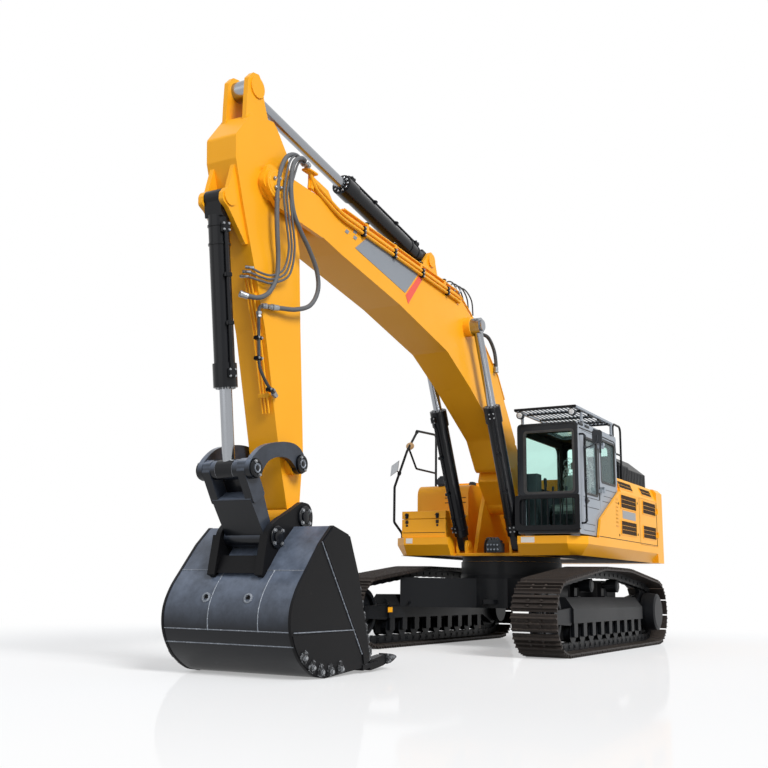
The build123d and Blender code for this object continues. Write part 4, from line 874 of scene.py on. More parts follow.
def dressCylinder(name, body, base, rodEye, barrel, radius, pipe):
    plan, finish = cylinderPlan, "cylinderBlack"
    base, rodEye = fromSlew(*base), fromSlew(*rodEye)
    axis = (rodEye - base).normalized()
    side = Vector((0, 1, 0))
    out = axis.cross(side)
    end, gland, over = base + axis * barrel, plan["glandLength"], radius * plan["glandOver"]
    # gland nut: knurled collar, bolt flange and wiper lip
    bm = bmesh.new()
    addTurned(bm, end - axis * gland, axis,
              ((-0.004, radius * 0.99), (0, over + 0.008), (0.018, over + 0.01),
               (0.022, over - 0.002), (gland * 0.55, over - 0.002), (gland * 0.58, over + 0.004),
               (gland - 0.006, over + 0.004), (gland - 0.002, over - 0.003),
               (gland - 0.004, radius * 0.97)), 32, False)
    # two bands round the barrel
    for reach in plan["bands"]:
        addTurned(bm, base + axis * reach, axis,
                  ((0, radius * 0.98), (0.002, radius + 0.009), (0.02, radius + 0.009),
                   (0.022, radius * 0.98)), 28, False)
    finishPiece(name + "Gland", bm, finish, body)
    count = plan["headBolts"]
    turns = (2 * pi * k / count for k in range(count))
    places = [end - axis * 0.003 + (side * cos(turn) + out * sin(turn)) * (radius * 0.8)
              for turn in turns]
    boltSet(name + "HeadBolts", places, axis, plan["headBolt"], "plainSteel", body)

    # a bent steel pipe from the base block to the gland's port
    s, outwards, first, last = pipe
    label = str(int(s * 10 + outwards * 3))
    stand = (out * outwards + side * s).normalized()
    skin, root = radius + plan["pipeStand"], radius * 0.9
    points = [base + axis * reach + stand * height
              for reach, height in ((first, root), (first, skin), (last, skin), (last, root))]
    bm = bmesh.new()
    addTube(bm, bentPath(points, 0.05), plan["pipeRadius"], 12)
    finishPiece(name + "Pipe" + label, bm, finish, body)
    bm = bmesh.new()
    sideways = stand.cross(axis).normalized()
    turn = Matrix((sideways, axis, stand)).transposed()
    for reach, length, wide, deep in ((first, 0.1, 0.085, 0.05), (last, 0.085, 0.085, 0.055)):
        middle = base + axis * reach + stand * (radius + deep * 0.42)
        addBlock(bm, middle, Vector((wide, length, deep)) / 2, turn, 0.006)
    for share in (0.33, 0.66):
        middle = base + axis * (first + (last - first) * share) + stand * skin
        addBlock(bm, middle, Vector((0.07, 0.04, 0.045)) / 2, turn, 0.004)
    finishPiece(name + "Ports" + label, bm, finish, body)
    places = [base + axis * (reach + dx) + stand * (radius + 0.048) + sideways * dy
              for reach in (first, last) for dx in (-0.03, 0.03) for dy in (-0.028, 0.028)]
    boltSet(name + "PortBolts" + label, places, stand, 0.017, "plainSteel", body)


for cylinder in cylinders:
    dressCylinder(*cylinder)
print("cylinders dressed")

# bucket
bucketPlan = {
    "half": 0.75, "plate": 0.03, "weld": 0.0065, "teeth": 5, "shrouds": 5,
    "upper": ((-0.125, -0.172), (0.15, -0.103), (0.17, -0.105), (0.365, -0.28)),
    "round": ((0.56, -0.512), (0.715, -0.705), (0.8, -0.9), (0.785, -1.11), (0.655, -1.315),
              (0.44, -1.458), (0.24, -1.499)),
    "floor": -1.502, "lip": (-0.5, -1.44),
    "tooth": ((-0.955, -1.44, -1.335, 0.056), (-1.03, -1.43, -1.342, 0.056),
              (-1.12, -1.404, -1.354, 0.048), (-1.178, -1.384, -1.368, 0.04)),
    "seams": (-0.19, 0.385),
    "drains": ((0.765, -0.79, -0.25), (0.765, -0.79, 0.24)),
}


def onBucket(u, v, y):
    return armTip + Vector((u, y, v))


def flatPath(points, steps=8):
    return [(p.x, p.z) for p in slackPath([(u, 0, v) for u, v in points], steps)]


def wrapperPath():
    low = [(u, max(v, bucketPlan["floor"])) for u, v in flatPath(bucketPlan["round"])]
    return [*bucketPlan["upper"], *low, bucketPlan["lip"]]


def inset(path, depth):
    # the same path moved towards the bucket's inside
    moved = []
    for i, (u, v) in enumerate(path):
        before, after = path[max(i - 1, 0)], path[min(i + 1, len(path) - 1)]
        along = Vector((after[0] - before[0], after[1] - before[1])).normalized()
        moved.append((u + along.y * depth, v - along.x * depth))
    return moved


def weldBead(bm, points, radius):
    # a weld's bead, a little uneven along its length
    points = [Vector(p) for p in points]
    radii = [radius * (0.85 + 0.3 * noise.noise(p * 35)) for p in points]
    addTube(bm, points, radii, 7)


def buildBucket():
    plan = bucketPlan
    half, plate = plan["half"], plan["plate"]
    path = wrapperPath()
    inside = inset(path, plate)
    bm = bmesh.new()
    addPrism(bm, path + inside[::-1], half - 0.004, onBucket)
    finishPiece("bucketWrapper", bm, "bucketBlack", "bucket", ("bucket",), "attachment_black", 20)

    mouth = [(-0.52, -1.33), (-0.31, -0.56), (-0.135, -0.175)]
    cheek = inset(path, -0.004)
    bm = bmesh.new()
    for s in (-1, 1):
        addPrism(bm, cheek + mouth, plate / 2,
                 lambda u, v, y: onBucket(u, v, s * (half - plate / 2) + y))
        # front band along the mouth, a second plate over the first
        addPrism(bm, [(0.15, -0.11), (0.33, -0.262), (-0.437, -1.316), (-0.455, -1.41),
                      (-0.545, -1.4), (-0.56, -1.33), (-0.325, -0.56), (-0.145, -0.19)], 0.007,
                 lambda u, v, y: onBucket(u, v, s * (half + 0.005) + y))
        # wear plate on the heel
        heel = [(u, v) for u, v in path if v < -1.09 and u > -0.2]
        addPrism(bm, [*heel, (-0.24, -1.455), (-0.3, -1.09)], 0.004,
                 lambda u, v, y: onBucket(u * 0.996, v * 0.998, s * (half + 0.003) + y))
    finishPiece("bucketSides", bm, "bucketDark", "bucket", soften=30)

    # bolted side cutters with a rough rim
    bm = bmesh.new()
    for s in (-1, 1):
        rim = [(-0.15, -0.52), (-0.3, -0.545), (-0.365, -0.64)]
        for k in range(6):
            u, v = -0.355 - k * 0.045, -0.69 - k * 0.115
            rim += [(u - 0.045, v), (u - 0.05, v - 0.06), (u - 0.022, v - 0.085)]
        rim += [(-0.64, -1.385), (-0.455, -1.37)]
        addPrism(bm, rim, 0.01, lambda u, v, y: onBucket(u, v, s * (half - 0.012) + y))
    finishPiece("sideCutters", bm, "wornSteel", "bucket")

    # heel shrouds, two claws and a bolt each
    bm = bmesh.new()
    heads = []
    lower = [(u, v) for u, v in path if v < -1.27]
    lengths = [0]
    for a, b in zip(lower, lower[1:]):
        lengths.append(lengths[-1] + hypot(b[0] - a[0], b[1] - a[1]))
    for s in (-1, 1):
        for k in range(plan["shrouds"]):
            want = 0.06 + k * 0.175
            i = next(i for i, l in enumerate(lengths) if l >= want or i == len(lengths) - 1)
            a, b = lower[i - 1], lower[i]
            t = (want - lengths[i - 1]) / (lengths[i] - lengths[i - 1])
            u, v = a[0] + (b[0] - a[0]) * t, a[1] + (b[1] - a[1]) * t
            along = Vector((b[0] - a[0], 0, b[1] - a[1])).normalized()
            inwards = Vector((along.z, 0, -along.x))
            turn = Matrix((along, (0, 1, 0), inwards)).transposed()
            spot = onBucket(u, v, s * (half + 0.006)) + inwards * 0.042
            addBlock(bm, spot, (0.052, 0.022, 0.04), turn, 0.012)
            spot = onBucket(u, v, s * (half + 0.004)) + inwards * 0.098
            addBlock(bm, spot, (0.03, 0.014, 0.022), turn, 0.008)
            heads.append(onBucket(u, v, s * (half + 0.028)) + inwards * 0.045)
    finishPiece("heelShrouds", bm, "wornSteel", "bucket")
    boltSet("shroudBolts", heads, [(0, 1 if p.y > 0 else -1, 0) for p in heads], 0.032,
            "plainSteel", "bucket")

    # weld seams over the wrapper and the sides
    bm = bmesh.new()
    lift = plan["weld"] * 0.3

    def seamAcross(u, v, low=-1, high=1):
        weldBead(bm, [onBucket(u, v, (low + (high - low) * k / 40) * half * 0.985)
                      for k in range(41)], plan["weld"])

    seamAcross(0.577 + lift, -0.533, -0.97, -0.36)
    seamAcross(0.577 + lift, -0.533, 0.42, 0.97)
    seamAcross(0.79 + lift, -1.078)
    seamAcross(0.738 + lift, -1.205)
    for y in plan["seams"]:
        weldBead(bm, [onBucket(u + lift, v, y + 0.05 * max(0, (v + 0.75)) ** 1.5)
                      for u, v in path if -1.09 < v < -0.52], plan["weld"])
    for s in (-1, 1):
        weldBead(bm, [onBucket(0.77 - k * 0.026, -1.082, s * (half + 0.007)) for k in range(41)],
                 plan["weld"])
        weldBead(bm, [onBucket(0.345 + (-0.425 - 0.345) * k / 40,
                               -0.262 + (-1.316 + 0.262) * k / 40, s * (half + 0.004))
                      for k in range(41)], 0.008)
    finishPiece("bucketWelds", bm, "weldSteel", "bucket")

    bm, holeShade, out = bmesh.new(), bmesh.new(), Vector((0.96, 0, 0.28))
    for u, v, y in plan["drains"]:
        spot = onBucket(u, v, y) - out.normalized() * 0.012
        addTurned(bm, spot, out,
                  ((0, 0.048), (0.022, 0.048), (0.026, 0.042), (0.026, 0.031), (0.01, 0.03)), 24)
        addTurned(holeShade, spot, out, ((0.0105, 0.029), (0.0115, 0.028)), 24)
    finishPiece("drainRims", bm, "weldSteel", "bucket")
    # near-black discs inside the drain holes: painted shade
    finishPiece("drainHoles", holeShade, "paintedShadeBlack", "bucket", slot="attachment_black")

    # ears with their cross box, pin bosses and keeper bolts
    bm = bmesh.new()
    ear = flatPath(((-0.13, -0.18), (-0.152, 0.02), (-0.085, 0.125), (0.04, 0.145)), 6)
    ear += flatPath(((0.1, 0.115), (0.3, 0.015), (0.47, -0.065), (0.575, -0.155),
                     (0.61, -0.27)), 6)
    ear += [(0.665, -0.585), (0.64, -0.6), (0.545, -0.505), (0.36, -0.285), (0.16, -0.12)]
    for s in (-1, 1):
        addPrism(bm, ear, 0.03, lambda u, v, y: onBucket(u, v, s * 0.28 + y))
        addPrism(bm, [(0.595, -0.2), (0.618, -0.2), (0.684, -0.575), (0.66, -0.585)], 0.045,
                 lambda u, v, y: onBucket(u, v, s * 0.28 + y))
    addPrism(bm, [(0.52, -0.412), (0.585, -0.395), (0.65, -0.56), (0.6, -0.56), (0.545, -0.5)],
             0.251, onBucket)
    finishPiece("bucketEars", bm, "bucketDark", "bucket")
    bm = bmesh.new()
    heads, turns = [], []
    for centre in (armTip, linkPin):
        for s in (-1, 1):
            y = s * 0.31
            addTurned(bm, (centre.x, y - s * 0.004, centre.z), (0, s, 0),
                      ((0, 0.108), (0.02, 0.108), (0.026, 0.1), (0.026, 0.072), (0.018, 0.07),
                       (0.018, 0.064), (0.036, 0.062), (0.04, 0.056)), 32)
            heads += aroundPin(centre, y + s * 0.02, 0.086, 4, 45)
            turns += [Vector((0, s, 0))] * 4
    finishPiece("earBosses", bm, "cylinderBlack", "bucket", slot="attachment_black")
    boltSet("bossBolts", heads, turns, 0.03, "plainSteel", "bucket")

    # cutting edge, adapters and teeth
    bm = bmesh.new()
    addPrism(bm, [(-0.44, -1.475), (-0.44, -1.425), (-0.76, -1.4), (-0.8, -1.418)], half + 0.01,
             onBucket)
    for i in range(plan["teeth"]):
        y = (i - 2) * (2 * half - 0.12) / 4
        addPrism(bm, [(-0.62, -1.484), (-0.6, -1.392), (-0.72, -1.37), (-0.9, -1.345),
                      (-0.985, -1.352), (-0.985, -1.425), (-0.9, -1.452), (-0.74, -1.47)], 0.05,
                 lambda u, v, w: onBucket(u, v, y + w * (1 if u > -0.9 else 0.78)))
    finishPiece("bucketEdge", bm, "bucketDark", "bucket")
    bm = bmesh.new()
    for i in range(plan["teeth"]):
        y = (i - 2) * (2 * half - 0.12) / 4
        rings = []
        for u, low, high, wide in plan["tooth"]:
            rings.append([bm.verts.new(onBucket(u, v, y + w)) for v, w in
                          ((low, -wide), (low, wide), (high, wide * 0.85), (high, -wide * 0.85))])
        skinRings(bm, rings)
        addTurned(bm, onBucket(-0.985, -1.388, y - 0.062), (0, 1, 0), ((0, 0.018), (0.124, 0.018)),
                  12)
    finishPiece("bucketTeeth", bm, "wornSteel", "bucket")
    print("bucket built")


def buildRocker():
    # pin ends and their collars outside the rocker plates
    bm = bmesh.new()
    heads, turns = [], []
    end = fromSlew(6.96, 0, 1.9)
    for centre in (rockerPin, end):
        for s in (-1, 1):
            addTurned(bm, (centre.x, s * 0.306, centre.z), (0, s, 0),
                      ((0, 0.088), (0.024, 0.088), (0.028, 0.082), (0.028, 0.06), (0.018, 0.058),
                       (0.018, 0.03), (0.03, 0.028), (0.033, 0.022)), 32)
            heads += aroundPin(centre, s * 0.334, 0.07, 2, 60)
            turns += [Vector((0, s, 0))] * 2
    finishPiece("rockerBosses", bm, "cylinderBlack", "rocker", slot="attachment_black")
    # the two cast arch plates, with a disc round each pin
    along, reach = (end - rockerPin).normalized(), (end - rockerPin).length
    upward = Vector((-along.z, 0, along.x))
    arch = flatPath([(-0.092, 0.03), (-0.03, 0.13), (0.07, 0.196), (0.21, 0.226),
                     (reach / 2, 0.23), (reach - 0.17, 0.208), (reach - 0.02, 0.14),
                     (reach + 0.075, 0.06), (reach + 0.096, -0.015), (reach + 0.05, -0.085),
                     (reach - 0.04, -0.09), (reach - 0.12, -0.02), (reach - 0.22, 0.058),
                     (reach / 2, 0.088), (0.21, 0.062), (0.11, -0.015), (0.04, -0.09),
                     (-0.05, -0.083), (-0.096, -0.02)], 3)
    bm = bmesh.new()
    for s in (-1, 1):
        addPrism(bm, arch, 0.029, lambda u, v, w: rockerPin + along * u + upward * v
                 + Vector((0, s * 0.28 + w, 0)))
        for centre in (rockerPin, end):
            addTurned(bm, (centre.x, s * 0.251, centre.z), (0, s, 0),
                      ((0, 0.094), (0.003, 0.099), (0.055, 0.099), (0.058, 0.094)), 36)
    finishPiece("rockerPlates", bm, "bucketBlack", "rocker", ("rocker",))
    # black sleeve over the bucket rod's eye
    bm = bmesh.new()
    addTurned(bm, (end.x, -0.1003, end.z), (0, 1, 0),
              ((0, 0.092), (0.003, 0.0965), (0.1976, 0.0965), (0.2006, 0.092)), 40)
    finishPiece("rodEyeSleeve", bm, "cylinderBlack", "bucket_rod", slot="attachment_black")
    # thin plate that closes the back of the link between its fork legs
    rise, tall = (end - linkPin).normalized(), (end - linkPin).length
    back = Vector((-rise.z, 0, rise.x))
    bm = bmesh.new()
    addPrism(bm, [(tall - 0.33, -0.155), (tall - 0.128, -0.155), (tall - 0.128, 0.155),
                  (tall - 0.33, 0.155)], 0.006,
             lambda u, v, w: linkPin + rise * u + back * (0.062 + w) + Vector((0, v, 0)))
    finishPiece("linkBackPlate", bm, "cylinderBlack", "link", slot="attachment_black")
    bm = bmesh.new()
    for centre in (rockerPin, end):
        for s in (-1, 1):
            addTurned(bm, (centre.x, s * 0.326, centre.z), (0, s, 0),
                      ((0, 0.046), (0.012, 0.046), (0.014, 0.042), (0.008, 0.034)), 28)
    finishPiece("rockerPinRings", bm, "weldSteel", "rocker")
    boltSet("rockerBolts", heads, turns, 0.024, "plainSteel", "rocker")
    print("rocker dressed")


buildBucket()
buildRocker()

# boom and arm dressing
boomPlan = {
    "side": 0.2625,         # a decal's plane, just over the side plate
    "decalHalf": 0.0015,
    "band": ((4.397, 0.671), (5.595, 0.416), (5.413, 0.73), (4.206, 1.118)),
    "stripe": ((4.375, 0.655), (4.185, 1.1), (4.085, 1.12), (4.275, 0.59)),
    "dashRows": ((5.5, 0.69), (5.56, 0.6), (5.62, 0.51)),
    "saddles": (3.5, 4.15, 4.8, 5.45), "clamps": (3.45, 4.15, 4.85, 5.55), "clampSlope": -0.341,
    "crestFrom": 3.12, "tubeSide": 0.284, "tubeRadius": 0.021,
}
hosePlan = {"guarded": 0.024, "thin": 0.0115, "start": (-0.05, -0.15, 0.3),
            "end": (0.95, 0.05, 0.3)}


def hoseLine(name, points, radius, finish, body, onTo=None, sides=14):
    # a hose held at both ends, with a crimped ferrule and a nut at each
    path = slackPath(points, 9)
    bm = bmesh.new()
    addTube(bm, path, radius, sides)
    hose = finishPiece(name, bm, finish, None if onTo else body)
    bm = bmesh.new()
    for tip, following in ((path[0], path[3]), (path[-1], path[-4])):
        into = (following - tip).normalized()
        addTurned(bm, tip, into,
                  ((0, radius), (0.004, radius * 1.45), (0.026, radius * 1.45),
                   (0.028, radius * 1.15), (0.034, radius * 1.28), (0.085, radius * 1.28),
                   (0.09, radius * 1.02)), 12)
    ends = finishPiece(name + "Ends", bm, "plainSteel", None if onTo else body)
    if onTo:
        for piece in (hose, ends):
            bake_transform(piece)


def buildBoomLines():
    # plain band, row of dashes and stripe on the boom's side
    plan = boomPlan
    band, stripe = bmesh.new(), bmesh.new()
    for s in (-1, 1):
        def onSide(u, v, w):
            return onBoom(u, v, s * plan["side"] + w)

        addPrism(band, plan["band"], plan["decalHalf"], onSide)
        for row, (u, v) in enumerate(plan["dashRows"]):
            for k in range(3):
                if (row + k) % 2 == 0:
                    a, b = u + k * 0.085, v - k * 0.026
                    addPrism(band, [(a, b), (a + 0.062, b - 0.018), (a + 0.048, b + 0.034),
                                    (a - 0.014, b + 0.052)], plan["decalHalf"], onSide)
        addPrism(stripe, plan["stripe"], plan["decalHalf"], onSide)
    finishPiece("boomBand", band, "greyBand", "boom")
    finishPiece("boomStripe", stripe, "coralStripe", "boom")

    # clamp saddles over the boom's pipes
    bm = bmesh.new()
    heads = []
    crest = Vector((plan["crestFrom"], 1.61))
    fall = (0.59 - 1.61) / (6.112 - plan["crestFrom"])
    saddles = [(1.7, 1.314, 0.27), (2.45, 1.516, 0.27)]
    saddles += [(u, crest.y + (u - crest.x) * fall, fall) for u in plan["saddles"]]
    for u, v, slope in saddles:
        rise, run = sin(atan(slope)), cos(atan(slope))
        turn = Matrix((boomAlong * run + across(boomAlong) * rise, Vector((0, 1, 0)),
                       across(boomAlong) * run - boomAlong * rise)).transposed()
        spot = onBoom(u, v, 0.217) + turn @ Vector((0, 0, 0.074))
        addBlock(bm, spot, (0.022, 0.05, 0.008), turn, 0.003)
        heads += [spot + turn @ Vector((0, y, 0.008)) for y in (-0.0145, 0.0145)]
    finishPiece("pipeSaddles", bm, "frameBlack", "boom")
    boltSet("saddleBolts", heads, across(boomAlong), 0.02, "plainSteel", "boom")

    # two fat steel tubes low on the boom's upper edge, running to the nose
    y, radius = plan["tubeSide"], plan["tubeRadius"]
    for k in range(2):
        bm = bmesh.new()
        drop = 0.03 + k * 0.056
        points = [onBoom(3.08, 1.582 - drop, y), onBoom(3.2, 1.551 - drop, y),
                  onBoom(6.02, 0.59 - drop, y), fromSlew(6.05, y - 0.02, 5.1 - drop),
                  fromSlew(6.22 - 0.05 * k, y - 0.03, 5.2)]
        addTube(bm, bentPath(points, 0.16), radius, 14)
        finishPiece("boomTube" + str(k), bm, "amberEnamel", "boom")
    bm = bmesh.new()
    heads = []
    slope = plan["clampSlope"]
    for u in plan["clamps"]:
        v = 1.578 + (u - plan["crestFrom"]) * slope
        along = (boomAlong + across(boomAlong) * slope).normalized()
        turn = Matrix((along, Vector((0, 1, 0)), Vector((-along.z, 0, along.x)))).transposed()
        spot = onBoom(u, v - 0.058, 0.286)
        addBlock(bm, spot, (0.026, 0.026, 0.058), turn, 0.005)
        heads += [spot + turn @ Vector((0, 0.026, z)) for z in (-0.045, 0, 0.045)]
    finishPiece("tubeClamps", bm, "frameBlack", "boom")
    boltSet("tubeClampBolts", heads, (0, 1, 0), 0.018, "plainSteel", "boom")
    print("boom lines built")


def buildHoses():
    guarded, thin = hosePlan["guarded"], hosePlan["thin"]
    # the bucket cylinder's supply, along the arm's side and round its front corner
    points = slewPoints((6.26, 0.262, 5.205), (6.44, 0.272, 5.235), (6.63, 0.285, 5.12),
                        (6.755, 0.298, 4.85), (6.77, 0.3, 4.56), (6.735, 0.29, 4.3),
                        (6.665, 0.262, 4.06), (6.66, 0.25, 3.85), (6.76, 0.245, 3.67),
                        (6.9, 0.235, 3.575), (7.02, 0.19, 3.56), (7.1, 0.14, 3.575))
    hoseLine("hoseToBucket", points, guarded, "hoseGuard", "boom", "arm")
    # the long outer loop to the arm's side fitting
    points = slewPoints((6.22, 0.29, 5.19), (6.38, 0.315, 5.215), (6.56, 0.34, 5.08),
                        (6.62, 0.355, 4.82), (6.57, 0.36, 4.56), (6.42, 0.35, 4.4),
                        (6.23, 0.335, 4.26), (6.06, 0.325, 4.08), (6.01, 0.315, 3.88),
                        (6.12, 0.3, 3.69), (6.34, 0.275, 3.59), (6.56, 0.245, 3.55),
                        (6.69, 0.225, 3.53))
    hoseLine("hoseToArm", points, guarded, "hoseGuard", "boom", "arm")
    for k in range(3):
        # three pilot and grease lines to the arm's front pipes
        lag = k * 0.04
        points = slewPoints((6.2, 0.23 + k * 0.02, 5.23 - lag * 0.5),
                            (6.4, 0.27 + k * 0.016, 5.245 - lag),
                            (6.6 - lag, 0.312 + k * 0.01, 5.08 - lag),
                            (6.7 - lag, 0.33 + k * 0.012, 4.72),
                            (6.64 - lag, 0.325 + k * 0.012, 4.45),
                            (6.54 - lag, 0.3 + k * 0.008, 4.18),
                            (6.56 - lag, 0.262 + k * 0.004, 3.96 - lag * 0.6),
                            (6.72, 0.24, 3.85 - lag), (6.88, 0.225, 3.83 - lag),
                            (6.985, 0.17 - k * 0.01, 3.86 - lag * 1.1),
                            (7.01, 0.125 - k * 0.03, 3.87 - lag * 1.1))
        hoseLine("hoseThin" + str(k), points, thin, "hoseGuard", "boom", "arm", 10)

    # elbow and pipe down the arm's side after the outer loop
    bm = bmesh.new()
    points = slewPoints((6.69, 0.225, 3.53), (6.9, 0.225, 3.5), (6.88, 0.218, 3.3),
                        (6.845, 0.215, 2.9), (6.72, 0.215, 2.76), (6.56, 0.215, 2.66))
    addTube(bm, bentPath(points, 0.07), 0.016, 12)
    finishPiece("armSidePipe", bm, "hoseBlack", "arm")
    bm = bmesh.new()
    for spot, toward in ((fromSlew(6.69, 0.225, 3.53), (1, 0, -0.14)),
                         (fromSlew(6.78, 0.225, 3.517), (1, 0, -0.14)),
                         (fromSlew(6.893, 0.223, 3.44), (-0.1, 0, -1)),
                         (fromSlew(6.6, 0.215, 2.69), (-0.8, 0, -0.5))):
        addTurned(bm, spot, toward,
                  ((0, 0.022), (0.004, 0.03), (0.03, 0.03), (0.034, 0.022), (0.042, 0.026),
                   (0.062, 0.026), (0.066, 0.018)), 6)
    finishPiece("armPipeNuts", bm, "plainSteel", "arm")
    bm = bmesh.new()
    heads = []
    for x, z in ((6.868, 3.18), (6.852, 2.98), (6.64, 2.71)):
        spot = fromSlew(x, 0.205, z)
        addBlock(bm, spot, (0.035, 0.03, 0.018), edge=0.004)
        heads += [spot + Vector((dx, 0.03, 0)) for dx in (-0.024, 0.024)]
    finishPiece("armPipeClamps", bm, "frameBlack", "arm")
    boltSet("armClampBolts", heads, (0, 1, 0), 0.018, "plainSteel", "arm")

    # thin arching hoses and one thick one behind the arm cylinder's base
    for k in range(4):
        u, y = 3.02 - k * 0.06, 0.1 + k * 0.045
        points = [onBoom(u + 0.3, 1.6, y + 0.05), onBoom(u + 0.26, 1.72, y + 0.05),
                  onBoom(u + 0.08, 1.83 - k * 0.012, y + 0.04), onBoom(u - 0.14, 1.8, y + 0.02),
                  onBoom(u - 0.28, 1.68, y), onBoom(u - 0.32, 1.58, y)]
        hoseLine("archHose" + str(k), points, 0.01, "hoseBlack", "boom", sides=9)
    points = [onBoom(2.2, 1.49, 0.16), onBoom(2.16, 1.6, 0.2), onBoom(2.02, 1.64, 0.255),
              onBoom(1.84, 1.55, 0.285), onBoom(1.72, 1.4, 0.295), onBoom(1.66, 1.25, 0.295)]
    hoseLine("crestHose", points, 0.026, "hoseBlack", "boom")
    # bracket and bulkhead plate that carry the hoses at the boom's nose
    bm = bmesh.new()
    slewBox(bm, (6.06, 0.215, 4.985), (6.12, 0.262, 5.205), 0.006)
    slewBox(bm, (6.05, 0.215, 5.15), (6.24, 0.305, 5.176), 0.005)
    addPrism(bm, [(6.62, 0.42), (6.66, 0.58), (6.3, 0.66), (6.1, 0.58)], 0.008,
             lambda u, v, w: onBoom(u, v, 0.238 + w))
    finishPiece("hoseBracket", bm, "amberEnamel", "boom")
    print("hoses built")


def buildPins():
    # covers of the boom's tip pin: stepped boss, keeper washer and its bolts
    bm, heads, turns = bmesh.new(), [], []
    y, radius, bolts = 0.282, 0.12, 4
    for s in (-1, 1):
        addTurned(bm, (boomTip.x, s * y, boomTip.z), (0, s, 0),
                  ((-0.002, radius), (0.008, radius), (0.012, radius - 0.004),
                   (0.012, radius * 0.5), (0.018, radius * 0.46), (0.02, radius * 0.4)), 36)
        heads += aroundPin(boomTip, s * (y + 0.023), radius * 0.54, bolts, 30)
        turns += [Vector((0, s, 0))] * bolts
    finishPiece("boomTipPin", bm, "amberEnamel", "boom", soften=30)
    boltSet("boomTipBolts", heads, turns, 0.026, "plainSteel", "boom")
    print("pins built")


buildBoomLines()
buildHoses()
buildPins()

# cab
cabPlan = {
    "front": 1.09, "rear": -0.74, "inner": 0.56, "outer": 1.462, "floor": 1.64,
    "roof": 3.17, "middle": 1.011, "guardBars": 9, "roofSlats": 14,
    "padVoxel": 0.007, "padPressure": 4.0, "padCap": 0.012, "padFill": 0.6,
    "seamWidth": 0.014, "seamDepth": 0.006,
}


def roundedRect(lowA, highA, lowB, highB, radius, steps=5):
    points = []
    for a, b, start in ((highA - radius, highB - radius, 0), (lowA + radius, highB - radius, 90),
                        (lowA + radius, lowB + radius, 180), (highA - radius, lowB + radius, 270)):
        for k in range(steps + 1):
            turn = radians(start + 90 * k / steps)
            points.append((a + radius * cos(turn), b + radius * sin(turn)))
    return points


def addFrame(bm, outer, inner, low, high, place):
    # a closed frame between two rounded rectangles, from low to high along its normal
    outer, inner = roundedRect(*outer), roundedRect(*inner)
    rings = [[bm.verts.new(place(a, b, w)) for a, b in ring]
             for ring, w in ((outer, low), (outer, high), (inner, high), (inner, low))]
    skinRings(bm, rings + rings[:1], False)


def facingFront(a, b, w):
    return fromSlew(w, a, b)


def facingSide(a, b, w):
    return fromSlew(a, w, b)


def facingTop(a, b, w):
    return fromSlew(a, b, w)


def padPiece(name, low, high, lean, seams=()):
    # a sewn pad: rounded block, swelled by air pressure, then its seams drawn in
    bm = bmesh.new()
    addBox(bm, low, high, edge=0.035)
    pivot = Vector(((low[0] + high[0]) / 2, (low[1] + high[1]) / 2, low[2]))
    turn = Matrix.Rotation(radians(lean), 4, "Y")
    leant = Matrix.Translation(pivot) @ turn @ Matrix.Translation(-pivot)
    bmesh.ops.transform(bm, matrix=leant, verts=bm.verts)
    mesh = bpy.data.meshes.new(name)
    bm.to_mesh(mesh)
    bm.free()
    block = bpy.data.objects.new(name + "Block", mesh)
    scene.collection.objects.link(block)
    remesh = block.modifiers.new("remesh", "REMESH")
    remesh.mode, remesh.voxel_size = "VOXEL", cabPlan["padVoxel"]
    swelled = evaluatedMesh(block)
    block.modifiers.clear()
    block.data = swelled
    rest = [v.co.copy() for v in swelled.vertices]
    cloth = block.modifiers.new("cloth", "CLOTH")
    cloth.settings.use_pressure = True
    cloth.settings.uniform_pressure_force = cabPlan["padPressure"]
    cloth.settings.effector_weights.gravity = 0
    for step in range(1, 21):
        scene.frame_set(step)
    settled = evaluatedMesh(block)
    block.modifiers.clear()
    scene.frame_set(1)
    for v, start in zip(settled.vertices, rest):
        move = v.co - start
        if move.length > cabPlan["padCap"]:
            v.co = start + move.normalized() * cabPlan["padCap"]
    block.data = settled
    inverse = leant.inverted()
    for v in block.data.vertices:
        local = inverse @ v.co
        along = local.y - pivot.y
        for seam in seams:
            gap = abs(abs(along) - seam)
            if gap < cabPlan["seamWidth"]:
                inwards = (pivot + Vector((0, 0, (high[2] - low[2]) / 2)) - local)
                share = 1 - gap / cabPlan["seamWidth"]
                v.co = v.co + inwards.normalized() * cabPlan["seamDepth"] * share
    data = block.data
    data.name = name
    bpy.data.objects.remove(block)
    piece = finishMesh(name, data, "seatFabric", "upper", slot="seat_cloth", soften=80)


def addLens(bm, place, radius):
    addTurned(bm, place, (1, 0, 0),
              ((0, radius * 0.88), (0.003, radius * 0.8), (0.006, radius * 0.5),
               (0.007, radius * 0.1)), 28)


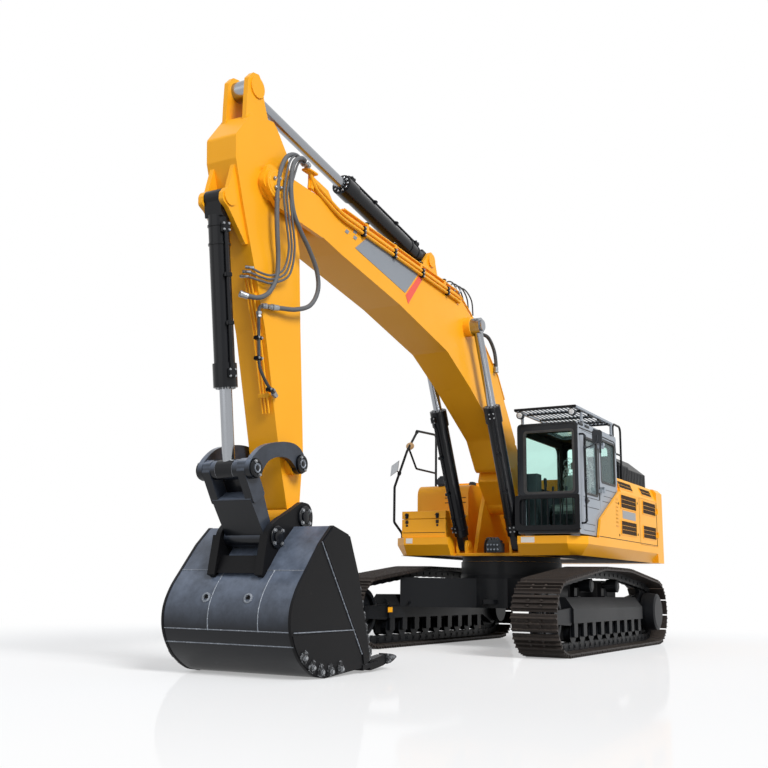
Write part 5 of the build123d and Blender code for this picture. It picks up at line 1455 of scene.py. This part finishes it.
def buildCab():
    plan = cabPlan
    front, rear, inner, outer = plan["front"], plan["rear"], plan["inner"], plan["outer"]
    floor, roof, middle = plan["floor"], plan["roof"], plan["middle"]

    # charcoal masks round the windscreen and the pane under it
    bm = bmesh.new()
    addFrame(bm, (inner + 0.004, outer - 0.003, 2.128, roof - 0.012, 0.055),
             (0.668, 1.394, 2.168, 3.042, 0.045), front - 0.01, front + 0.008, facingFront)
    addFrame(bm, (inner + 0.004, outer - 0.003, 2.128, roof - 0.012, 0.055),
             (inner + 0.03, outer - 0.03, 2.15, roof - 0.04, 0.045), front + 0.006, front + 0.016,
             facingFront)
    addFrame(bm, (inner + 0.004, outer - 0.003, floor - 0.035, 2.132, 0.03),
             (0.672, 1.39, 1.678, 2.106, 0.04), front - 0.01, front + 0.006, facingFront)
    finishPiece("windscreenFrame", bm, "maskCharcoal", "upper")
    bm = bmesh.new()
    addFrame(bm, (0.652, 1.41, 2.152, 3.058, 0.055), (0.684, 1.378, 2.184, 3.026, 0.04),
             front - 0.034, front + 0.012, facingFront)
    addFrame(bm, (-0.665, 0.075, 2.385, 3.055, 0.06), (-0.632, 0.042, 2.418, 3.022, 0.045),
             outer - 0.022, outer + 0.004, facingSide)
    addFrame(bm, (-0.615, 0.995, 2.265, 3.055, 0.06), (-0.582, 0.962, 2.298, 3.022, 0.11),
             inner - 0.004, inner + 0.024, facingSide)
    addFrame(bm, (0.645, 1.377, 2.545, 3.055, 0.06), (0.678, 1.344, 2.578, 3.022, 0.045),
             rear - 0.004, rear + 0.024, facingFront)
    addFrame(bm, (-0.365, 0.465, 0.715, 1.307, 0.06), (-0.332, 0.432, 0.748, 1.274, 0.045),
             roof - 0.022, roof + 0.006, facingTop)
    # gutter over the door
    points = slewPoints((1.02, outer + 0.003, 3.075), (0.4, outer + 0.004, 3.085),
                        (-0.66, outer + 0.003, 3.085), (-0.7, outer + 0.003, 2.92))
    addTube(bm, bentPath(points, 0.06), 0.008, 8)
    finishPiece("windowRubber", bm, "hoseBlack", "upper")
    bm = bmesh.new()
    addFrame(bm, (0.225, 0.855, 2.155, 2.985, 0.06), (0.256, 0.824, 2.186, 2.954, 0.045),
             outer - 0.024, outer + 0.005, facingSide)
    slewBox(bm, (0.152, outer - 0.002, 2.12), (0.196, outer + 0.006, 3.02), 0.003)
    slewBox(bm, (0.7, outer - 0.002, 2.055), (0.86, outer + 0.028, 2.085), 0.008)
    slewBox(bm, (0.72, outer - 0.002, 2.03), (0.84, outer + 0.01, 2.11), 0.004)
    finishPiece("doorTrim", bm, "hoseBlack", "cab_door")
    bm = bmesh.new()
    for z, low, high in ((2.118, 0.185, 0.905), (1.985, 0.215, 0.905), (1.745, 0.41, 0.905)):
        addTube(bm, [fromSlew(low + (high - low) * k / 12, outer + 0.0005, z) for k in range(13)],
                0.0045, 6)
    finishPiece("doorSeams", bm, "maskCharcoal", "cab_door")
    bm = bmesh.new()
    for x, z in ((-0.66, 2.3), (-0.66, 2.2), (-0.6, 2.12)):
        addTube(bm, [fromSlew(x + 0.62 * k / 12, outer + 0.0005, z) for k in range(13)], 0.004, 6)
    for x in (0.98, 0.7, 0.3):
        slewBox(bm, (x - 0.1, outer - 0.004, 3.118), (x + 0.08, outer + 0.014, 3.15), 0.005)
    finishPiece("sideSeams", bm, "maskCharcoal", "upper")

    # dark lining inside: roof, back, right side and floor
    bm = bmesh.new()
    addFrame(bm, (rear + 0.05, front - 0.05, inner + 0.05, outer - 0.05, 0.02),
             (-0.33, 0.43, 0.75, 1.272, 0.04), roof - 0.058, roof - 0.047, facingTop)
    addFrame(bm, (inner + 0.048, outer - 0.048, floor + 0.004, roof - 0.06, 0.02),
             (0.682, 1.34, 2.582, 3.018, 0.06), rear + 0.047, rear + 0.058, facingFront)
    addFrame(bm, (rear + 0.06, front - 0.052, floor + 0.004, roof - 0.06, 0.02),
             (-0.575, 0.955, 2.305, 3.015, 0.12), inner + 0.047, inner + 0.058, facingSide)
    finishPiece("cabLining", bm, "darkLining", "upper")
    bm = bmesh.new()
    slewBox(bm, (rear + 0.062, inner + 0.062, floor + 0.001),
            (front - 0.06, outer - 0.06, floor + 0.01), 0.003)
    for k in range(24):
        x = rear + 0.12 + k * 0.066
        slewBox(bm, (x, inner + 0.1, floor + 0.008), (x + 0.018, outer - 0.1, floor + 0.013))
    finishPiece("floorMat", bm, "hoseBlack", "upper")

    # seat: suspension box with bellows, then the sewn pads
    bm = bmesh.new()
    for k in range(6):
        grow = 0.012 if k % 2 else 0
        slewBox(bm, (-0.13 - grow, middle - 0.19 - grow, floor + 0.011 + k * 0.04),
                (0.32 + grow, middle + 0.19 + grow, floor + 0.051 + k * 0.04), 0.008)
    slewBox(bm, (-0.19, middle - 0.235, floor + 0.25), (0.345, middle + 0.235, floor + 0.285),
            0.01)
    for s in (-1, 1):
        slewBox(bm, (-0.16, middle + s * 0.262 - 0.018, floor + 0.575),
                (0.14, middle + s * 0.262 + 0.018, floor + 0.62), 0.012)
    finishPiece("seatBase", bm, "mouldedGrey", "upper", ("seat",), "seat_cloth")
    padPiece("seatCushion", fromSlew(-0.185, middle - 0.245, floor + 0.29),
             fromSlew(0.345, middle + 0.245, floor + 0.405), 0, (0.15,))
    padPiece("seatBack", fromSlew(-0.205, middle - 0.22, floor + 0.41),
             fromSlew(-0.105, middle + 0.22, floor + 0.93), -9, (0.14,))
    padPiece("seatHead", fromSlew(-0.3, middle - 0.13, floor + 0.97),
             fromSlew(-0.22, middle + 0.13, floor + 1.15), -9)
    # clear film left over the new seat
    bm = bmesh.new()
    rings = []
    for k in range(15):
        t = k / 14
        x = 0.375 - 0.62 * min(t * 1.9, 1) - max(0, t - 0.52) * 0.24
        z = floor + 0.43 + max(0, t - 0.45) * 1.4
        rings.append([bm.verts.new(fromSlew(x + 0.014 * noise.noise(Vector((k * 0.7, j * 0.6, 1))),
                                            middle + (j / 12 - 0.5) * 0.54,
                                            z + 0.016 * noise.noise(Vector((k * 0.5, j * 0.8, 5)))
                                            - (0.05 if j in (0, 12) else 0)))
                      for j in range(13)])
    for a, b in zip(rings, rings[1:]):
        for k in range(12):
            bm.faces.new((a[k], a[k + 1], b[k + 1], b[k]))
    finishPiece("seatFilm", bm, "clearFilm", "upper", soften=80)

    # levers with their boots, travel levers and pedals
    bm = bmesh.new()
    for s in (-1, 1):
        at = fromSlew(0.3, middle + s * 0.325, floor + 0.56)
        addTurned(bm, at, (0, 0, 1),
                  ((0, 0.048), (0.012, 0.044), (0.02, 0.048), (0.03, 0.036), (0.042, 0.04),
                   (0.052, 0.026), (0.064, 0.029), (0.08, 0.014)), 20)
        addTurned(bm, at + Vector((0, 0, 0.075)), (0.12, 0, 1),
                  ((0, 0.012), (0.045, 0.013), (0.06, 0.021), (0.12, 0.024), (0.165, 0.026),
                   (0.185, 0.018), (0.19, 0.006)), 16)
        points = slewPoints((0.72, middle + s * 0.07, floor + 0.01),
                            (0.7, middle + s * 0.07, floor + 0.42),
                            (0.62, middle + s * 0.1, floor + 0.6))
        addTube(bm, bentPath(points, 0.08), 0.011, 10)
        addTurned(bm, fromSlew(0.62, middle + s * 0.1, floor + 0.6), (-0.3, 0, 1),
                  ((0, 0.012), (0.01, 0.018), (0.055, 0.019), (0.065, 0.01)), 14)
        slewBox(bm, (0.72, middle + s * 0.1 - 0.045, floor + 0.05),
                (0.88, middle + s * 0.1 + 0.045, floor + 0.07), 0.004,
                Matrix.Rotation(radians(-24), 3, "Y"))
    finishPiece("cabLevers", bm, "mouldedGrey", "upper")

    # roof guard: bars across, slats from front to back between them
    bm = bmesh.new()
    for y in (inner + 0.02, outer + 0.005):
        slewBox(bm, (-0.54, y - 0.017, 3.33), (1.196, y + 0.017, 3.369), 0.005)
        for x in (-0.48, 0.93):
            slewBox(bm, (x - 0.028, y - 0.014, roof - 0.002), (x + 0.028, y + 0.014, 3.332), 0.005)
            slewBox(bm, (x - 0.055, y - 0.017, roof - 0.002), (x + 0.055, y + 0.017, roof + 0.012),
                    0.003)
    finishPiece("guardRails", bm, "cabSilver", "upper", ("roof_guard",), "black_paint")
    bm = bmesh.new()
    for x in (1.203, 0.78, 0.25, -0.28, -0.525):
        slewBox(bm, (x - 0.016, inner + 0.004, 3.334), (x + 0.016, outer + 0.021, 3.369), 0.004)
    for x in (0.95, 0.55, 0.1, -0.35):
        slewBox(bm, (x - 0.07, outer - 0.01, 3.3), (x + 0.07, outer + 0.02, 3.331), 0.006)
    finishPiece("guardBars", bm, "frameBlack", "upper")
    slat = bmesh.new()
    addBox(slat, (-0.86, -0.011, -0.004), (0.86, 0.011, 0.004), edge=0.002)
    slatPiece = template("roofSlat", slat)
    count = plan["roofSlats"]
    places = [fromSlew(0.335, inner + 0.07 + (outer - inner - 0.12) * k / (count - 1), 3.352)
              for k in range(count)]
    repeatPiece("guardSlats", slatPiece, places, [(0.35, 0, 0)] * count, "cabSilver", "upper",
                slot="black_paint")

    # front guard over the lower window
    bm = bmesh.new()
    addFrame(bm, (0.532, 1.49, 1.642, 2.133, 0.035), (0.6, 1.428, 1.712, 2.082, 0.05),
             front + 0.012, front + 0.056, facingFront)
    finishPiece("frontGuardFrame", bm, "frameBlack", "upper", ("front_guard",))
    bar = bmesh.new()
    addBox(bar, (-0.01, -0.007, -0.19), (0.01, 0.007, 0.19), edge=0.003)
    barPiece = template("guardBar", bar)
    count = plan["guardBars"]
    places = [fromSlew(front + 0.034, 0.6 + 0.828 * (k + 0.5) / count, 1.897)
              for k in range(count)]
    repeatPiece("frontGuardBars", barPiece, places, [(0, 0, 0)] * count, "frameBlack", "upper")
    bm = bmesh.new()
    slewBox(bm, (front + 0.02, 1.484, 1.66), (front + 0.062, 1.4925, 2.12), 0.003)
    finishPiece("guardEdge", bm, "cabSilver", "upper")

    # lamps: a rim and a ribbed pale lens on each
    bm, lens = bmesh.new(), bmesh.new()
    for x, y, z, radius in ((1.205, 0.645, 3.274, 0.05), (1.205, 1.417, 3.274, 0.05)):
        addTurned(bm, fromSlew(x - 0.05, y, z), (1, 0, 0),
                  ((0, radius * 0.7), (0.02, radius * 1.02), (0.048, radius * 1.04),
                   (0.054, radius * 1.0), (0.054, radius * 0.9), (0.049, radius * 0.88)), 32)
        addLens(lens, fromSlew(x - 0.002, y, z), radius)
    finishPiece("cabLampRims", bm, "mouldedGrey", "upper")
    finishPiece("cabLampLenses", lens, "lampLens", "upper")
    bm, lens = bmesh.new(), bmesh.new()
    x, y, z, radius = 1.965, 0.306, 4.47, 0.042
    addTurned(bm, fromSlew(x - 0.06, y, z), (1, 0, 0),
              ((0, radius * 0.6), (0.02, radius * 1.02), (0.058, radius * 1.05),
               (0.063, radius * 1.0), (0.063, radius * 0.9), (0.058, radius * 0.88)), 32)
    addLens(lens, fromSlew(x - 0.003, y, z), radius)
    finishPiece("boomLampRim", bm, "mouldedGrey", "boom")
    finishPiece("boomLampLens", lens, "lampLens", "boom")

    # left mirror: rounded head on a bent arm
    bm = bmesh.new()
    for low, high, grow in ((0.955, 0.99, 0), (0.948, 0.957, -0.012)):
        outline = roundedRect(1.634 - grow, 1.77 + grow, 2.842 - grow, 3.028 + grow, 0.035)
        skinRings(bm, [[bm.verts.new(fromSlew(x, a, b)) for a, b in outline]
                       for x in (low, high)])
    points = slewPoints((1.03, 1.545, 2.78), (1.03, 1.64, 2.8), (0.992, 1.71, 2.86),
                        (0.992, 1.71, 2.96))
    addTube(bm, bentPath(points, 0.04), 0.009, 10)
    slewBox(bm, (0.975, 1.735, 2.7), (0.995, 1.76, 2.85), 0.004)
    addTurned(bm, fromSlew(1.03, 1.542, 2.765), (0, 0, 1),
              ((0, 0.018), (0.004, 0.024), (0.036, 0.024), (0.04, 0.018)), 14)
    for z in (1.78, 2.35, 2.94):
        addTurned(bm, fromSlew(1.03, 1.542, z - 0.02), (0, 0, 1),
                  ((0, 0.0145), (0.004, 0.019), (0.036, 0.019), (0.04, 0.0145)), 14)
    finishPiece("leftMirror", bm, "mouldedGrey", "upper", ("mirror_left",))
    print("cab built")


buildCab()

# body panels, deck, boxes and undercarriage
bodyPlan = {
    "levels": ((1.69, 1.885), (2.09, 2.285)), "face": 1.506, "bottom": 1.305,
    "deckFold": 1.462, "deckTuck": 0.105, "deckFront": 1.1, "deckWall": 0.04,
    "boxFront": 1.06, "valvePorts": (0.08, 0.13, 0.18, 0.23),
}


def louvre(shade, trim, x0, x1, z0, z1, place, rows=3):
    # painted shade: a dark recess with sloped blades, inside a pale frame
    deep, proud = 0.0008, 0.0075
    corners = [(x0, z0), (x1, z0), (x1, z1), (x0, z1)]
    bottom = [shade.verts.new(place(a, b, deep)) for a, b in corners]
    shade.faces.new(bottom)
    step = (z1 - z0) / rows
    for k in range(rows):
        low, high = z0 + k * step + 0.01, z0 + (k + 1) * step - 0.006
        blade = [(x0 + 0.012, low, proud), (x1 - 0.012, low, proud),
                 (x1 - 0.012, high, deep + 0.001), (x0 + 0.012, high, deep + 0.001)]
        shade.faces.new([shade.verts.new(place(a, b, w)) for a, b, w in blade])
        under = [(x0 + 0.012, low, proud), (x1 - 0.012, low, proud), (x1 - 0.012, low, deep),
                 (x0 + 0.012, low, deep)]
        shade.faces.new([shade.verts.new(place(a, b, w)) for a, b, w in under])
        for a in range(1, 24):
            x = x0 + (x1 - x0) * a / 24
            rib = [(x - 0.003, low, proud + 0.001), (x + 0.003, low, proud + 0.001),
                   (x + 0.003, high, deep + 0.002), (x - 0.003, high, deep + 0.002)]
            shade.faces.new([shade.verts.new(place(p, q, w)) for p, q, w in rib])
    addFrame(trim, (x0 - 0.016, x1 + 0.016, z0 - 0.016, z1 + 0.016, 0.02, 3),
             (x0, x1, z0, z1, 0.008, 3), -0.004, 0.009, place)
    for k in range(1, rows):
        z = z0 + k * step
        spots = [(x0, z - 0.002), (x1, z - 0.002), (x1, z + 0.003), (x0, z + 0.003)]
        trim.faces.new([trim.verts.new(place(a, b, 0.004)) for a, b in spots])


def reshaped(node, name, finish, body, slot, reshape):
    # a node's own shell, merged, moved to its place and reshaped
    bm = bmesh.new()
    bm.from_mesh(nodes[node].data)
    bmesh.ops.remove_doubles(bm, verts=bm.verts, dist=0.0001)
    bmesh.ops.dissolve_limit(bm, angle_limit=radians(1), verts=bm.verts, edges=bm.edges)
    bm.transform(nodes[node].matrix_world)
    reshape(bm)
    finishPiece(name, bm, finish, body, (node,), slot)


def sidePlace(side):
    return lambda a, b, w: fromSlew(a, side * (bodyPlan["face"] + w), b)


def slopePlace(side):
    # on the shoulder between the side wall and the roof
    low = Vector((0, side * bodyPlan["face"], 2.33))
    high = Vector((0, side * 1.41, 2.56))
    up = (high - low).normalized()
    out = Vector((0, side * abs(up.z), abs(up.y))).normalized()
    return lambda a, b, w: fromSlew(a, 0, 0) + low + up * b + out * w


def buildPanels():
    for side, label, panel in ((1, "Left", (-1.59, -0.75)), (-1, "Right", (-1.59, -0.85))):
        place, slope, face = sidePlace(side), slopePlace(side), side * bodyPlan["face"]
        shade, trim = bmesh.new(), bmesh.new()
        for z0, z1 in bodyPlan["levels"]:
            louvre(shade, trim, panel[0], panel[1], z0, z1, place)
        louvre(shade, trim, -1.54, panel[1] - 0.05, 0.075, 0.19, slope, 2)
        louvre(shade, trim, -2.7, -2.06, 0.075, 0.19, slope, 2)
        finishPiece("panelShade" + label, shade, "shadeAndSeamBrown", "upper")
        finishPiece("panelTrim" + label, trim, "amberEnamel", "upper")
        shade, trim = bmesh.new(), bmesh.new()
        for z0, z1 in bodyPlan["levels"]:
            louvre(shade, trim, -2.79, -2.0, z0, z1, place)
        door = "engine_door_left" if side > 0 else "engine_door_right"
        finishPiece("doorShade" + label, shade, "shadeAndSeamBrown", door)
        finishPiece("doorLouvreTrim" + label, trim, "amberEnamel", door)
        # ridges ahead of the louvres, a blank plate and the lower seam
        bm = bmesh.new()
        for k in range(8):
            z = 1.78 + k * 0.058
            slewBox(bm, (-0.61, side * 1.505 - 0.006, z), (-0.48, side * 1.505 + 0.006, z + 0.018),
                    0.005)
        finishPiece("ridges" + label, bm, "amberEnamel", "upper")
        bm = bmesh.new()
        slewBox(bm, (-1.56, face - 0.002, 1.925), (-0.83, face + 0.002, 2.05), 0.0015)
        finishPiece("plate" + label, bm, "plainSteel", "upper", slot="attachment_black")
        bm = bmesh.new()
        slewBox(bm, (-2.895, face - 0.003, 1.588), (0.36, face + 0.0012, 1.598))
        for x in (-1.795, -2.88):
            slewBox(bm, (x - 0.004, face - 0.003, 1.6), (x + 0.004, face + 0.0012, 2.325))
        for x, z in ((-0.64, 2.14), (-0.64, 1.66), (-1.68, 2.22), (-1.68, 1.72)):
            addTurned(bm, fromSlew(x, side * 1.505, z), (0, side, 0),
                      ((0, 0.02), (0.003, 0.02), (0.005, 0.014), (0.006, 0.004)), 16)
        finishPiece("seams" + label, bm, "shadeAndSeamBrown", "upper")

    # grab bars on the hood, and ribs on the air boxes and their lid
    bm = bmesh.new()
    for x in (-0.98, -1.36):
        points = slewPoints((x + 0.13, 1.27, 2.555), (x + 0.13, 1.27, 2.615),
                            (x - 0.13, 1.27, 2.615), (x - 0.13, 1.27, 2.555))
        addTube(bm, bentPath(points, 0.02), 0.01, 10)
    finishPiece("hoodGrabs", bm, "amberEnamel", "upper")
    bm = bmesh.new()
    for k in range(7):
        x = -1.2 - k * 0.088
        slewBox(bm, (x - 0.012, 1.352, 2.575), (x + 0.012, 1.366, 2.8), 0.004)
    for k in range(11):
        x = -1.86 - k * 0.094
        slewBox(bm, (x - 0.014, 1.322, 2.58), (x + 0.014, 1.336, 2.79), 0.004)
        addPrism(bm, [(0.7, 3.03), (1.04, 3.03), (1.035, 3.038), (0.7, 3.038)], 0.014,
                 lambda u, v, w: fromSlew(x + w, u, v))
    finishPiece("airBoxRibs", bm, "frameBlack", "upper")


def buildDeck():
    # skirt of the deck folds in under a crease
    def fold(bm):
        crease, tuck, face = bodyPlan["deckFold"], bodyPlan["deckTuck"], bodyPlan["face"]
        geometry = bm.verts[:] + bm.edges[:] + bm.faces[:]
        bmesh.ops.bisect_plane(bm, geom=geometry, plane_co=(0, 0, crease), plane_no=(0, 0, 1),
                               dist=0.0002)
        front, thick = slewX + bodyPlan["deckFront"], bodyPlan["deckWall"]
        for v in bm.verts:
            if v.co.z < crease - 0.002:
                amount = tuck * min(1, (crease - v.co.z) / (crease - bodyPlan["bottom"]))
                away, deepX = abs(v.co.y), front - v.co.x
                if away > face - thick - 0.008 - amount:
                    wall = thick if away < face - 0.006 else 0
                    v.co.y = copysign(min(away, face - wall - amount), v.co.y)
                if deepX < thick + 0.008 + amount:
                    wall = thick if deepX > 0.006 else 0
                    v.co.x = min(v.co.x, front - wall - amount)
    # black band round the collar that stands on the bearing
    frameNode = nodes["revolving_frame"]
    low = min((frameNode.matrix_world @ v.co).z for v in frameNode.data.vertices)
    bm = bmesh.new()
    addTurned(bm, fromSlew(0, 0, low + 0.002), (0, 0, 1),
              ((0, 0.7405), (0.001, 0.743), (1.303 - low - 0.002, 0.743)), 72, False)
    finishPiece("collarBand", bm, "frameBlack", "upper", slot="yellow_paint")
    reshaped("revolving_frame", "deckFrame", "amberEnamel", "upper", "yellow_paint", fold)
    # painted shade: dark brown plates under the deck, standing in for the shade under it
    bm = bmesh.new()
    for low, high in (((-2.82, 0.8, 1.3015), (0.98, 1.385, 1.3045)),
                      ((-2.82, -1.385, 1.3015), (0.98, -0.8, 1.3045)),
                      ((-2.82, -0.8, 1.3015), (-0.86, 0.8, 1.3045))):
        slewBox(bm, low, high)
    finishPiece("belly", bm, "shadeAndSeamBrown", "upper", slot="yellow_paint")
    bm = bmesh.new()
    slewBox(bm, (1.0985, 0.6, 1.478), (1.1015, 0.8, 1.556), 0.001)
    slewBox(bm, (1.0985, -1.24, 1.48), (1.1015, -1.13, 1.555), 0.001)
    finishPiece("blankPlates", bm, "palePlate", "upper", slot="attachment_black")

    # latches of the toolbox, its plugs and seams
    bm, fixed = bmesh.new(), bmesh.new()
    front = bodyPlan["boxFront"]
    for y in (-1.245, -0.735):
        slewBox(bm, (front - 0.002, y - 0.026, 1.852), (front + 0.014, y + 0.026, 1.93), 0.006)
        slewBox(bm, (front + 0.01, y - 0.012, 1.85), (front + 0.024, y + 0.012, 1.9), 0.005)
        addTube(bm, slewPoints((front + 0.018, y - 0.03, 1.905), (front + 0.018, y + 0.03, 1.905)),
                0.007, 10)
        slewBox(fixed, (front - 0.002, y - 0.024, 1.775), (front + 0.012, y + 0.024, 1.828), 0.005)
        addTurned(fixed, fromSlew(front, y, 1.748), (1, 0, 0),
                  ((0, 0.018), (0.006, 0.018), (0.01, 0.012), (0.011, 0.003)), 14)
    finishPiece("boxLatches", bm, "frameBlack", "toolbox_lid")
    addTube(fixed, [fromSlew(front + 0.001, -1.32 + 0.71 * k / 10, 1.64) for k in range(11)],
            0.004, 6)
    for z in (2.215, 2.14):
        slewBox(fixed, (0.2585, -1.0, z), (0.2625, -0.64, z + 0.012))
    addTube(fixed, slewPoints((1.02, -0.5985, 1.6), (1.02, -0.5985, 1.8)), 0.003, 6)
    finishPiece("boxSeams", fixed, "shadeAndSeamBrown", "upper")
    bm = bmesh.new()
    slewBox(bm, (0.03, -1.19, 2.426), (0.19, -1.02, 2.56), 0.022)
    addTurned(bm, fromSlew(0.11, -1.105, 2.555), (0, 0, 1),
              ((0, 0.062), (0.02, 0.062), (0.03, 0.052), (0.034, 0.02)), 24)
    slewBox(bm, (-0.1, -0.7, 2.426), (0.02, -0.62, 2.49), 0.012)
    for y in (-1.3, -1.12):
        addTurned(bm, fromSlew(-0.4, y, 2.428), (0, 0, 1),
                  ((0, 0.07), (0.016, 0.07), (0.026, 0.056), (0.03, 0.02)), 24)
    finishPiece("tankCaps", bm, "mouldedGrey", "upper")

    # right mirror: thin slanted plate, its clamp, and a round mirror above, its amber a painted
    # reflection
    bm = bmesh.new()
    outline = [(-1.38, 2.738), (-1.402, 2.58), (-1.528, 2.502), (-1.508, 2.662)]
    addPrism(bm, outline, 0.007, lambda u, v, w: fromSlew(1.085 + w, u, v))
    finishPiece("rightMirrorPlate", bm, "plainSteel", "upper", ("mirror_right",), "black_paint")
    bm = bmesh.new()
    slewBox(bm, (1.068, -1.478, 2.59), (1.08, -1.412, 2.66), 0.004)
    addTurned(bm, fromSlew(0.975, -1.44, 2.535), (-0.545, 0, 0.838),
              ((0, 0.02), (0.004, 0.028), (0.046, 0.028), (0.05, 0.02)), 16)
    addTube(bm, slewPoints((0.965, -1.44, 2.555), (1.03, -1.442, 2.59), (1.076, -1.445, 2.62)),
            0.01, 10)
    addTurned(bm, fromSlew(0.4, -1.44, 3.268), (-0.55, 0, 0.6),
              ((0, 0.02), (0.004, 0.028), (0.04, 0.028), (0.044, 0.02)), 16)
    finishPiece("railClamps", bm, "frameBlack", "upper")
    bm = bmesh.new()
    addTurned(bm, fromSlew(0.615, -1.44, 3.02), (0.9, 0.25, 0.35),
              ((0, 0.06), (0.006, 0.066), (0.014, 0.064), (0.022, 0.045), (0.026, 0.012)), 28)
    finishPiece("roundMirror", bm, "mirrorReflectionAmber", "upper")

    # valve block between the boom cylinders with its elbows and hoses
    bm = bmesh.new()
    for x0, x1, y0, y1, z0, z1 in ((0.9, 1.05, 0.04, 0.27, 1.346, 1.48),
                                   (0.92, 1.04, 0.055, 0.25, 1.48, 1.52)):
        slewBox(bm, (x0, y0, z0), (x1, y1, z1), 0.008)
    ports = bmesh.new()
    for y in bodyPlan["valvePorts"]:
        for x, z, profile in ((1.045, 1.45, ((0, 0.016), (0.012, 0.016), (0.012, 0.012),
                                             (0.028, 0.012))),
                              (1.045, 1.385, ((0, 0.014), (0.01, 0.014), (0.01, 0.02),
                                              (0.022, 0.02)))):
            addTurned(bm, fromSlew(x, y, z), (1, 0, 0), profile, 6)
        for x, z, profile in ((1.072, 1.45, ((0, 0.011), (0.016, 0.011), (0.018, 0.006))),
                              (1.064, 1.385, ((0, 0.013), (0.014, 0.013), (0.017, 0.006)))):
            addTurned(ports, fromSlew(x, y, z), (1, 0, 0), profile, 12)
    finishPiece("valveBlock", bm, "mouldedGrey", "upper", slot="attachment_black")
    finishPiece("valvePorts", ports, "weldSteel", "upper")
    bm = bmesh.new()
    for k in range(4):
        start = fromSlew(0.98, 0.08 + k * 0.048, 1.515)
        points = [start, start + Vector((-0.02, -0.02 - k * 0.01, 0.035)),
                  fromSlew(0.88 - k * 0.02, -0.02 + k * 0.02, 1.54 - k * 0.012),
                  fromSlew(0.76 - k * 0.03, -0.1 + k * 0.03, 1.45 - k * 0.012),
                  fromSlew(0.62 - k * 0.03, -0.16 + k * 0.04, 1.35)]
        addTube(bm, slackPath(points), 0.016, 12)
    finishPiece("valveHoses", bm, "hoseBlack", "upper", slot="attachment_black")
    print("body dressed")


def buildUndercarriageDetail():
    # gear cover, plugs and a blank plate on the frame between the tracks
    bm = bmesh.new()
    addTurned(bm, fromSlew(0, 0, 0.962), (0, 0, 1),
              ((0, 0.735), (0.01, 0.76), (0.08, 0.765), (0.09, 0.74)), 72)
    finishPiece("ringCover", bm, "frameBlack", "undercarriage", slot="undercarriage_black")
    bm = bmesh.new()
    for side in (-1, 1):
        # near-black sheets in the gaps between the bottom rollers: painted shade
        slewBox(bm, (-1.75, side * 1.37 - 0.006, 0.19), (1.75, side * 1.37 + 0.006, 0.5), 0.003)
    finishPiece("rollerGuards", bm, "paintedShadeBlack", "undercarriage", slot="undercarriage_black")
    bm = bmesh.new()
    for x in (1.3, 1.95, 2.3):
        for side in (-1, 1):
            addTurned(bm, fromSlew(x, side * 1.069, 0.62), (0, -side, 0),
                      ((0, 0.028), (0.008, 0.028), (0.012, 0.02), (0.013, 0.005)), 20)
    finishPiece("framePlugs", bm, "frameBlack", "undercarriage", slot="undercarriage_black")
    bm = bmesh.new()
    slewBox(bm, (1.8, -1.0705, 0.49), (1.93, -1.0675, 0.56), 0.001)
    finishPiece("yellowPlate", bm, "amberEnamel", "undercarriage")
    print("undercarriage dressed")


buildPanels()
buildDeck()
buildUndercarriageDetail()

dropTemplates()
